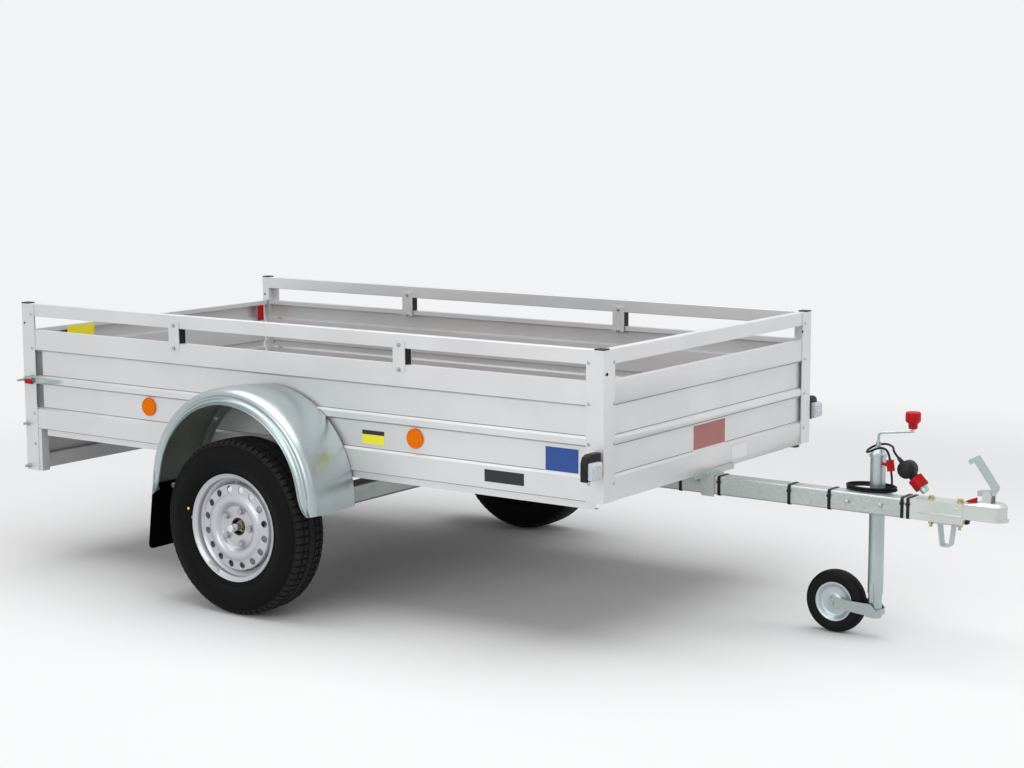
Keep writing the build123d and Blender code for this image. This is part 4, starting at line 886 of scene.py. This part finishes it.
# ---- rivets, bolts and screws
wallHalf = 0.6610
rivetValues = {
    "radius": 0.0062, "height": 0.0022, "rear": fromRear(0.0485), "front": fromRear(2.4545),
    "postFront": fromRear(2.5070), "insets": {-1: 0.6050, 1: 0.6170}, "frontAbove": 0.5,
    "heights": (0.424, 0.536, 0.655, 0.775, 0.898),
}
# model: (across flats, height, washer radius, thread length)
fastenerValues = {
    "strap": (0.010, 0.0038, 0.0070), "guard": (0.010, 0.004, 0.0085), "clamp": (0.0130, 0.0060, 0.0088, 0.003),
    "coupling": (0.016, 0.008, 0.012), "nut": (0.016, 0.0090, 0.011, 0.0110),
    "strapStations": (0.7635, 1.7435), "strapHeights": (0.8240, 0.9015), "strapInside": 0.6250,
    "guardWall": 0.6602,
    "guardStations": ((0.8745, 0.4700), (0.9490, 0.5980), (1.2100, 0.7165), (1.4610, 0.5980), (1.5355, 0.4700)),
    "clampStations": ((2.988, 0.439, 0.25), (3.098, 0.4405, 0.25), (2.461, 0.4460, 0.1)), "clampSide": -0.0302,
    "couplingStations": (3.251, 3.343), "couplingTop": 0.4724, "couplingFoot": 0.4078,
    "strapRoll": 0.3, "topRoll": 0.2, "footRoll": 0.5,
}
boltShape = {
    "headFrom": 0.0015, "chamfer": 0.09, "rise": 0.12, "washer": 0.0016, "washerEdge": 0.0004,
    "thread": 0.3, "threadEnd": 0.0008,
}


def domeModel(radius, height):
    dome = startPiece("dome", bpy.ops.mesh.primitive_uv_sphere_add, segments=14, ring_count=8, radius=radius)
    edit(dome)
    bpy.ops.mesh.bisect(plane_co=(0, 0, 0), plane_no=(0, 0, 1), clear_inner=True, use_fill=True)
    selectAll()
    bpy.ops.transform.resize(value=(1, 1, height / radius), center_override=(0, 0, 0))
    leave()
    return dome


def boltModel(across, height, washer, shank=0.0):
    # hexagon head with a chamfered top on a washer, and a thread end where one shows
    values = boltShape
    head = startCylinder("bolt", 6, across / hexagon, height, values["headFrom"])
    parts = [dished(head, isTop, across * values["chamfer"], (0, 0, height * values["rise"])),
             bevelled(startCylinder("washer", 20, washer, values["washer"]), isTop, values["washerEdge"])]
    if shank:
        end = startCylinder("thread", 14, across * values["thread"], shank, height)
        parts.append(dished(end, isTop, values["threadEnd"], (0, 0, values["threadEnd"])))
    return joined("boltModel", parts)


def makeRivets():
    values = rivetValues
    places = []
    for side in (-1, 1):
        for z in values["heights"]:
            places.append(outwards(values["rear"], side, wallHalf, z))
            if z > values["frontAbove"]:
                places.append(outwards(values["front"], side, wallHalf, z))
                places.append(facing((values["postFront"], side * values["insets"][side], z), (1, 0, 0)))
    settle(scattered("wallRivets", domeModel(values["radius"], values["height"]), places), "rivetGrey")


def makeBolts():
    values = fastenerValues
    strap = []
    for station in values["strapStations"]:
        for side in (-1, 1):
            for z in values["strapHeights"]:
                for facingSide, half in ((side, wallHalf), (-side, -values["strapInside"])):
                    strap.append(outwards(fromRear(station), facingSide, half, z, values["strapRoll"]))
    guard = [outwards(fromRear(station), side, values["guardWall"], z)
             for side in (-1, 1) for station, z in values["guardStations"]]
    clamp = [facing((fromRear(station), values["clampSide"], z), (0, -1, 0), roll)
             for station, z, roll in values["clampStations"]]
    top = [facing((fromRear(station), 0, values["couplingTop"]), (0, 0, 1), values["topRoll"])
           for station in values["couplingStations"]]
    foot = [facing((fromRear(station), 0, values["couplingFoot"]), (0, 0, -1), values["footRoll"])
            for station in values["couplingStations"]]
    for name, model, places, finishName in (
            ("strapBolts", "strap", strap, "rivetGrey"), ("guardBolts", "guard", guard, "brightZinc"),
            ("clampBolts", "clamp", clamp, "galvanised"), ("couplingBolts", "coupling", top, "yellowZinc"),
            ("couplingNuts", "nut", foot, "yellowZinc")):
        settle(scattered(name, boltModel(*values[model]), places), finishName)


# ---- labels, lamps and reflectors
labelValues = {
    # name: (low corner's and high corner's station, y and z, border, finish, body)
    "sideLabelBlue": ((2.290, -0.6498, 0.5570), (2.415, -0.6490, 0.6360), 0.003, "labelBlue", "chassis"),
    "sideLabelDark": ((2.0725, -0.6588, 0.5030), (2.2200, -0.6580, 0.5410), 0.0, "labelBlack", "chassis"),
    "sideLabelYellow": ((1.582, -0.6498, 0.5730), (1.672, -0.6490, 0.6030), 0.0, "labelYellow", "chassis"),
    "sideLabelHeader": ((1.582, -0.6498, 0.6035), (1.672, -0.6490, 0.6170), 0.0, "labelBlack", "chassis"),
    "frontLabelRed": ((2.4950, -0.1220, 0.5570), (2.4958, 0.0880, 0.6430), 0.004, "labelRed", "chassis"),
    "frontLabelWhite": ((2.5040, 0.1130, 0.4980), (2.5048, 0.2170, 0.5400), 0.0, "labelWhite", "chassis"),
    "gateLabelYellow": ((0.0286, -0.4730, 0.7910), (0.0294, -0.3400, 0.8360), 0.0, "labelYellow", "tailgate"),
    "gateLabelRed": ((0.0286, 0.5620, 0.7615), (0.0294, 0.5990, 0.8236), 0.0, "redPlastic", "tailgate"),
}
sheetValues = {"edge": 0.00025, "lift": 0.0002, "thin": 0.01}


def makeLabels():
    # blank sheets; a bordered one stands a little out of a slightly larger white sheet
    for name, (low, high, border, finishName, body) in labelValues.items():
        low = [fromRear(low[0]), *low[1:]]
        high = [fromRear(high[0]), *high[1:]]
        if border:
            settle(boxPiece(name + "Border", low, high, sheetValues["edge"], 1), "labelWhite", body)
            facesAhead = high[0] - low[0] < sheetValues["thin"]
            for i in range(3):
                if i != (0 if facesAhead else 1):
                    low[i] += border
                    high[i] -= border
            if facesAhead:
                high[0] += sheetValues["lift"]
            else:
                low[1] -= sheetValues["lift"]
        settle(boxPiece(name, low, high, sheetValues["edge"], 1), finishName, body)


reflectorValues = {
    "stations": (0.626, 1.798), "wall": 0.6490, "height": 0.608,
    "profile": ((0.0001, 0.0), (0.0317, 0.0), (0.0319, 0.0055), (0.0308, 0.0068), (0.0290, 0.0070),
                (0.0276, 0.0058), (0.0262, 0.0058), (0.0001, 0.0066)),
}


def makeReflectors():
    values = reflectorValues
    for side, title in sides:
        shape = [(radius, side * along) for radius, along in values["profile"]]
        discs = [spun("reflectorDisc", shape, (fromRear(station), side * values["wall"], values["height"]), 48)
                 for station in values["stations"]]
        settle(joined("amberDiscs" + title, discs), "amberLens",
               replaced=["reflectors"] if side < 0 else [], angle=35)


tailLampValues = {
    "back": fromRear(0.0052), "front": fromRear(0.0180), "low": 0.348, "high": 0.426, "inset": 0.004,
    "recess": 0.0012, "bevel": (0.004, 3),
    "bands": {"Amber": (0.544, 0.599, "amberLens"), "Red": (0.466, 0.542, "redLens"),
              "Clear": (0.415, 0.464, "clearLens")},
}


def makeTailLamps():
    # three-colour lamps: turn signal outside, stop and tail in the middle, reversing light inside
    values = tailLampValues
    for side, title in sides:
        for word, (low, high, finishName) in values["bands"].items():
            lens = sidedBox("tailLens" + word + title, side, (values["back"], low, values["low"]),
                            (values["front"], high, values["high"]), *values["bevel"])
            dished(lens, lambda place, normal: normal.x < -0.95, values["inset"], (values["recess"], 0, 0))
            settle(lens, finishName, replaced=["tail_lamp_lenses"] if (word, side) == ("Red", -1) else [])


markerValues = {
    "lens": ((0.7520, 0.6820, 0.5600), (0.7765, 0.7340, 0.6130)), "lensBevel": 0.0110, "lensEdge": 0.004,
    "housing": ((0.7280, 0.6612, 0.5550), (0.7520, 0.7370, 0.6350)), "slope": 0.0240, "slopeFrom": (0.73, 0.63),
    "housingEdge": 0.0025,
}


def makeMarkers():
    # clear rounded lens in front of a black housing with a sloping top corner
    values = markerValues
    outer, upper = values["slopeFrom"]
    for side, title in sides:
        lens = sidedBox("markerLens" + title, side, *values["lens"])
        bevelled(lens, lambda place, normal: normal.x > 0.9, values["lensBevel"], 4)
        soften(lens, values["lensEdge"])
        settle(lens, "clearLens", replaced=["marker_lenses"] if side < 0 else [])
        housing = sidedBox("markerHousing" + title, side, *values["housing"])
        bevelled(housing, lambda place, edge: runsAhead(edge, 0.01) and abs(place.y) > outer and place.z > upper,
                 values["slope"], 2, "EDGE")
        soften(housing, values["housingEdge"])
        settle(housing, "blackPlastic", replaced=["marker_brackets"] if side < 0 else [])


# ---- trimmed front sheet and posts, dark strips painted as shade along the bands and at the fields' ends, and black discs painted as the post holes' shade
wallValues = {
    "trim": 0.4800, "sideSpan": (-1.7130, 0.6980), "frontHalf": 0.5990,
    # (inner face, outer face, low, high) of each dark strip painted as the shade line at a band's edge
    "sideShadeLines": ((0.6488, 0.6496, 0.5590, 0.5606), (0.6488, 0.6496, 0.6760, 0.6776),
                  (0.6560, 0.6584, 0.7682, 0.7700), (0.6560, 0.6584, 0.6476, 0.6494),
                  (0.6540, 0.6583, 0.4806, 0.4822)),
    "frontShadeLines": ((0.7480, 0.7491, 0.5590, 0.5606), (0.7480, 0.7491, 0.6760, 0.6776),
                   (0.7555, 0.7579, 0.7682, 0.7700), (0.7555, 0.7579, 0.6476, 0.6494)),
    # dark strips painted as the shade that the rear posts cast over the fields' ends
    "fieldEndShades": ((-1.6845, 0.6488, 0.5606), (-1.6595, 0.6497, 0.6476)),
    "upperFieldEndShades": ((-1.6845, 0.6488, 0.6776), (-1.6595, 0.6497, 0.7682)),
    # a hole's radius, thickness and foot; its edge; where the black discs painted as the holes' shade are
    "hole": (0.0048, 0.0008, -0.0002), "holeEdge": 0.0006,
    "holes": ((0.7605, -0.6417, 0.8647), (0.7605, 0.5983, 0.8709)),
    "sideCover": (0.7485, 0.6610, 0.8650), "farCover": (0.7605, 0.6490, 0.8650),
}


def discModel(name):
    return dished(startCylinder(name, 24, *wallValues["hole"]), isTop, wallValues["holeEdge"])


def makeWallDetails():
    # the front sheet and its posts end a little higher than the solids'
    for name, node, finishName in (("frontPostsTrimmed", "front_posts", "silverProfile"),
                                   ("frontSheetTrimmed", "front_panel", "silverSheet")):
        piece = copiedNode(name, node, (0, 0, wallValues["trim"]), (0, 0, 1), clear_inner=True)
        settle(piece, finishName, replaced=[node], angle=30)
    rear, front = wallValues["sideSpan"]
    frontHalf = wallValues["frontHalf"]
    # dark strips painted along the band edges and at the fields' ends as shade lines
    strips = [sidedBox("shadeLine", side, (rear, inner, low), (front, outer, high))
              for inner, outer, low, high in wallValues["sideShadeLines"] for side in (-1, 1)]
    strips += [boxPiece("shadeLine", (inner, -frontHalf, low), (outer, frontHalf, high))
               for inner, outer, low, high in wallValues["frontShadeLines"]]
    strips += [sidedBox("fieldEndShade", side, *wallValues[end])
               for side in (-1, 1) for end in ("fieldEndShades", "upperFieldEndShades")]
    settle(joined("wallShadeLines", strips), "seamShadow")
    # black discs in two post holes: painted shade for the holes' dark insides
    places = [facing(spot, (1, 0, 0)) for spot in wallValues["holes"]]
    settle(scattered("postHoleShades", discModel("postHoleShade"), places), "blackRubber")
    places = [outwards(x, side, half, z) for x, half, z in [wallValues["sideCover"]] for side in (-1, 1)]
    places.append(facing(wallValues["farCover"], (1, 0, 0)))
    settle(scattered("postHoleCovers", discModel("postCover"), places), "silverProfile")


# ---- cable, plug and ties
cableValues = {
    "diameter": 0.007, "start": (fromRear(2.575), 0.0339, 0.446), "beyondGland": 0.042,
    "tube": (fromRear(3.048), 0.058), "mainLength": 1.82, "loopLength": 0.327,
    # the coil on the drawbar, and its (share of the way, further out, height)
    "coilCentre": (-0.018, -0.006), "coilHalf": (0.079, 0.051), "perTurn": 14, "firstAngle": 201.0,
    "lastAngle": 1416.6,
    "layers": ((0.0, 0.0, 0.4717), (0.06, 0.0037, 0.4717), (0.26, 0.0037, 0.4717), (0.34, -0.0037, 0.4717),
               (0.56, -0.0037, 0.4719), (0.66, 0.0018, 0.4788), (1.0, 0.0018, 0.4794)),
    # points ahead of the jockey tube's axis, left of it and above the ground
    "toCoil": ((-0.144, -0.0241, 0.446), (-0.124, -0.0241, 0.446), (-0.104, -0.0241, 0.450),
               (-0.093, -0.0241, 0.458), (-0.0905, -0.0243, 0.468)),
    "toHolder": ((0.0605, -0.0285, 0.4832), (0.0605, -0.0285, 0.5104), (0.056, -0.027, 0.536)),
    "loop": ((0.050, -0.025, 0.570), (0.04611, -0.0237, 0.592), (0.0287, -0.0286, 0.6073), (0.005, -0.037, 0.601),
             (-0.024, -0.031, 0.585), (-0.040, 0.004, 0.588), (-0.022, 0.032, 0.602), (0.014, 0.030, 0.609),
             (0.046, -0.006, 0.610), (0.066, -0.036, 0.612), (0.075, -0.054, 0.6014), (0.090, -0.054, 0.586)),
}


def fromJockey(ahead, left, height):
    return (cableValues["tube"][0] + ahead, cableValues["tube"][1] + left, height)


def coilPoints():
    values = cableValues
    turned = values["lastAngle"] - values["firstAngle"]
    count = round(turned / 360.0 * values["perTurn"])
    points = []
    for i in range(1, count):
        part = i / count
        angle = math.radians(values["firstAngle"] + turned * part)
        for (p0, o0, z0), (p1, o1, z1) in zip(values["layers"], values["layers"][1:]):
            if p0 <= part <= p1:
                blend = (part - p0) / (p1 - p0)
                offset = o0 + (o1 - o0) * blend
                height = z0 + (z1 - z0) * blend
        points.append(fromJockey(values["coilCentre"][0] + (values["coilHalf"][0] + offset) * math.cos(angle),
                                 values["coilCentre"][1] + (values["coilHalf"][1] + offset) * math.sin(angle),
                                 height))
    return points


def makeCord(name, route, replaced, **facts):
    # a round cord along its route, in place of the solids' pieces
    line = bpy.data.curves.new(name, "CURVE")
    line.dimensions = "3D"
    spline = line.splines.new("NURBS")
    spline.points.add(len(route) - 1)
    for slot, point in zip(spline.points, route):
        slot.co = (*point, 1.0)
    spline.order_u = 3
    spline.use_endpoint_u = True
    spline.resolution_u = 6
    line.bevel_depth = cableValues["diameter"] / 2
    line.bevel_resolution = 3
    line.use_fill_caps = True
    line.materials.append(finishes["cableSheath"])
    cord = linked(bpy.data.objects.new(name, line))
    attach(cord, "chassis")
    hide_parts(*replaced)


def makeCables():
    values = cableValues
    start = values["start"]
    toCoil, toHolder, loop = ([fromJockey(*point) for point in values[key]] for key in ("toCoil", "toHolder", "loop"))
    route = [start, (start[0] + values["beyondGland"], start[1], start[2])] + toCoil + coilPoints() + toHolder
    makeCord("trailerCable", route, ["cable_run", "cable_coil", "cable_lead"], length=values["mainLength"],
             far_end="object", lay="coiled", with_pieces=["cable_gland", "plug_park"])
    makeCord("plugCable", loop, ["cable_loop"], length=values["loopLength"], far_end="plug", lay="hanging",
             with_pieces=["plugBodyShort", "plugTip", "plugCollarKnurled"])


plugValues = {
    "slope": 45.7, "collarRadius": 0.0222, "collarLength": 0.0355, "collarAt": 0.098, "ribs": 48,
    "ribHeight": 0.0012, "mouthWall": 0.0028, "mouthDepth": 0.003, "bodyEnd": 0.116, "tipAt": 0.113,
    "tip": ((0.0001, 0.0), (0.0150, 0.0), (0.0150, 0.0060), (0.0128, 0.0072), (0.0128, 0.0190),
            (0.0116, 0.0205), (0.0001, 0.0205)),
}


def makePlug():
    # bayonet ring with grip ribs, the body up to it and a metal tip
    values = plugValues
    slope = math.radians(values["slope"])
    axis = Vector((math.cos(slope), 0, -math.sin(slope)))
    start = Vector(fromJockey(*cableValues["loop"][-1]))
    rib = 360.0 / values["ribs"]
    ring = startCylinder("plugCollarKnurled", values["ribs"], values["collarRadius"], values["collarLength"],
                         -values["collarLength"] / 2)
    edit(ring, lambda place, normal: abs(normal.z) < 0.2
         and int(round((math.degrees(math.atan2(normal.y, normal.x)) % 360) / rib - 0.5)) % 2 == 0)
    bpy.ops.mesh.extrude_region_shrink_fatten(TRANSFORM_OT_shrink_fatten={"value": values["ribHeight"]})
    leave()
    dished(ring, isTop, values["mouthWall"], (0, 0, -values["mouthDepth"]))
    ring.data.transform(facing(start + axis * values["collarAt"], axis))
    settle(ring, "redPlastic", replaced=["plug_collar"], angle=30)
    body = copiedNode("plugBodyShort", "plug_body", start + axis * values["bodyEnd"], axis, clear_outer=True)
    settle(body, "blackPlastic", replaced=["plug_body"], angle=35)
    tip = spun("plugTip", values["tip"], (0, 0, 0), 32)
    tip.data.transform(facing(start + axis * values["tipAt"], axis) @ Matrix.Rotation(math.radians(90), 4, "X"))
    settle(tip, "platedSteel", angle=30)


tieValues = {
    # (station, lean, half width, bottom, top) of each band
    "bands": ((2.395, 0.10, 0.0308, 0.4072, 0.4688), (2.540, 0.0, 0.0308, 0.4072, 0.4688),
              (2.789, 0.02, 0.0308, 0.4072, 0.4688), (2.928, -0.02, 0.0308, 0.4072, 0.4688),
              (3.1715, 0.0, 0.0347, 0.4094, 0.4728), (3.1905, 0.0, 0.0347, 0.4094, 0.4728)),
    "width": 0.0100, "thick": 0.0012, "corner": 0.0045, "head": (0.0060, 0.0062, 0.0220, 0.0140),
    "headEdge": 0.0008,
}


def makeTies():
    # cable ties round the drawbar and the coupling's channel
    bands = []
    headHalf, headDepth, headLow, headHigh = tieValues["head"]
    for station, lean, half, low, high in tieValues["bands"]:
        band = startPiece("tieBand", bpy.ops.mesh.primitive_cube_add, size=1, location=(0, 0, (low + high) / 2),
                          scale=(tieValues["width"], 2 * half, high - low))
        edit(band, lambda place, normal: abs(normal.x) > 0.9)
        bpy.ops.mesh.delete(type="FACE")
        leave()
        bevelled(band, lambda place, edge: runsAhead(edge, 0.008), tieValues["corner"], 3, "EDGE")
        modify(band, "SOLIDIFY", thickness=tieValues["thick"], offset=1)
        head = boxPiece("tieHead", (-headHalf, -half - headDepth, high - headLow),
                        (headHalf, -half, high - headHigh), tieValues["headEdge"])
        tie = joined("tie", [band, head])
        tie.data.transform(Matrix.Translation((fromRear(station), 0, 0)) @ Matrix.Rotation(lean, 4, "Z"))
        bands.append(tie)
    settle(joined("cableTies", bands), "blackPlastic")


# ---- small fittings
fittingValues = {
    # low corner, high corner, bevel and its segments
    "catch": ((fromRear(0.017), -0.6755, 0.6450), (fromRear(0.057), -0.6725, 0.6620), 0.0012),
    "indicator": ((fromRear(3.363), -0.006, 0.4750), (fromRear(3.394), 0.006, 0.4925)),
    "indicatorDrop": 0.0125, "indicatorEdge": 0.0015, "indicatorTip": (fromRear(3.37), 0.49),
    "block": ((fromRear(3.348), -0.010, 0.4075), (fromRear(3.371), 0.010, 0.4200), 0.003, 3),
    "bead": ((fromRear(3.222), 0.0340, 0.4312), (fromRear(3.362), 0.0352, 0.4372), 0.0009),
    "dimples": ((3.3445, 0.0341, 0.4562), (3.394, 0.0231, 0.4630), (3.427, 0.0231, 0.4632)),
    "dimple": (0.0042, 0.0011), "pin": (0.0065, 0.0030), "pinAt": (3.4388, 0.0160, 0.5035),
}


def makeFittings():
    values = fittingValues
    settlePair(boxPiece("latchCatchRight", *values["catch"]), "redPlastic")
    indicator = boxPiece("wearIndicator", *values["indicator"])
    tipFront, tipFoot = values["indicatorTip"]
    edit(indicator, lambda place, normal: place.z > tipFoot and place.x < tipFront, "VERT")
    bpy.ops.transform.translate(value=(0, 0, -values["indicatorDrop"]))
    leave()
    soften(indicator, values["indicatorEdge"])
    settle(indicator, "redPlastic")
    settle(boxPiece("breakawayBlock", *values["block"]), "blackPlastic")
    beads, pins = [], []
    for side in (-1, 1):
        beads.append(sidedBox("bead", side, *values["bead"]))
        for station, half, height in values["dimples"]:
            beads.append(domeModel(*values["dimple"]))
            beads[-1].data.transform(outwards(fromRear(station), side, half, height))
        station, half, height = values["pinAt"]
        pins.append(outwards(fromRear(station), side, half, height))
    settle(joined("couplingBeads", beads), "couplingSteel")
    settle(scattered("leverPin", domeModel(*values["pin"]), pins), "brightZinc")


print("modelling wheels")
makeWheels()
makeStubEnds()
print("modelling guards, castor and knob")
makeGuards()
makeFlaps()
makeCastor()
makeKnob()
print("modelling rivets and bolts")
makeRivets()
makeBolts()
print("modelling labels and lamps")
makeLabels()
makeReflectors()
makeTailLamps()
makeMarkers()
print("modelling wall details")
makeWallDetails()
print("modelling cable, plug and fittings")
makePlug()
makeCables()
makeTies()
makeFittings()


# ---- camera, floor and light
studio = {
    "camera": (3.8962167, -5.5503948, 1.6662543), "turn": (81.89253, 0.194347, 35.28778),
    "lens": 70.58992, "sensor": 36.0, "floorHalf": 14.0, "backTone": (0.885, 0.895, 0.915, 1.0),
    "ambient": 0.58, "floorTone": 0.755, "fadeStart": 2.3, "fadeEnd": 4.8,
    # name: (place, target, size, power)
    "lamps": {"topLight": ((-0.2, -0.2, 5.0), (-0.2, 0, 0.4), (7.5, 5.5), 248.0),
              "rightLight": ((0.5, -7.4, 3.2), (-0.2, 0, 0.6), (6.5, 3.0), 172.0),
              "frontLight": ((5.5, 1.5, 2.6), (0.5, 0, 0.5), (3.0, 2.4), 53.0)},
}


def makeCamera():
    data = bpy.data.cameras.new("viewCamera")
    data.lens = studio["lens"]
    data.sensor_width = studio["sensor"]
    data.clip_end = 100.0
    camera = linked(bpy.data.objects.new("viewCamera", data))
    camera.location = studio["camera"]
    camera.rotation_euler = [math.radians(angle) for angle in studio["turn"]]
    bpy.context.scene.camera = camera


def makeFloor():
    # a pale floor that fades out into the background
    floor = startPiece("studioFloor", bpy.ops.mesh.primitive_circle_add, vertices=96, radius=studio["floorHalf"],
                       fill_type="NGON")
    made = Finish("studioFloor", Roughness=0.9, Specular_IOR_Level=0.1)
    made.feed(Base_Color=made.blend(made.noise(1.2), [studio["floorTone"] * 0.99] * 3, [studio["floorTone"]] * 3))
    reach = made.node("ShaderNodeVectorMath", {"operation": "LENGTH"}, {0: made.place}, "Value")
    fade = reach.ramp(studio["fadeStart"], studio["fadeEnd"])
    clear = made.node("ShaderNodeBsdfTransparent")
    mixed = made.node("ShaderNodeMixShader", None,
                      {0: fade, 1: Value(made, made.shader.outputs[0]), 2: clear})
    made.tree.links.new(mixed.socket, made.tree.nodes["Material Output"].inputs["Surface"])
    floor.data.materials.append(made.material)


def makeWorld():
    # weaker as ambient light than where it is seen, mirrored or seen through
    world = bpy.data.worlds.new("studioWorld")
    bpy.context.scene.world = world
    world.use_nodes = True
    wiring = Wiring(world.node_tree)
    seen, mirrored, through = (wiring.node("ShaderNodeLightPath", output=f"Is {ray} Ray")
                               for ray in ("Camera", "Glossy", "Transmission"))
    either = seen.maths("MAXIMUM", mirrored).maths("MAXIMUM", through)
    level = wiring.node("ShaderNodeMapRange", None, {"Value": either, "To Min": studio["ambient"], "To Max": 1.0})
    back = wiring.tree.nodes["Background"]
    back.inputs["Color"].default_value = studio["backTone"]
    wiring.tree.links.new(level.socket, back.inputs["Strength"])


def makeLamps():
    for name, (place, target, size, power) in studio["lamps"].items():
        data = bpy.data.lights.new(name, "AREA")
        data.shape = "RECTANGLE"
        data.size, data.size_y = size
        data.energy = power
        lamp = linked(bpy.data.objects.new(name, data))
        lamp.location = place
        lamp.rotation_euler = (Vector(target) - Vector(place)).to_track_quat("-Z", "Y").to_euler()


print("making studio")
makeCamera()
makeFloor()
makeWorld()
makeLamps()
bpy.context.scene.view_settings.view_transform = "Standard"
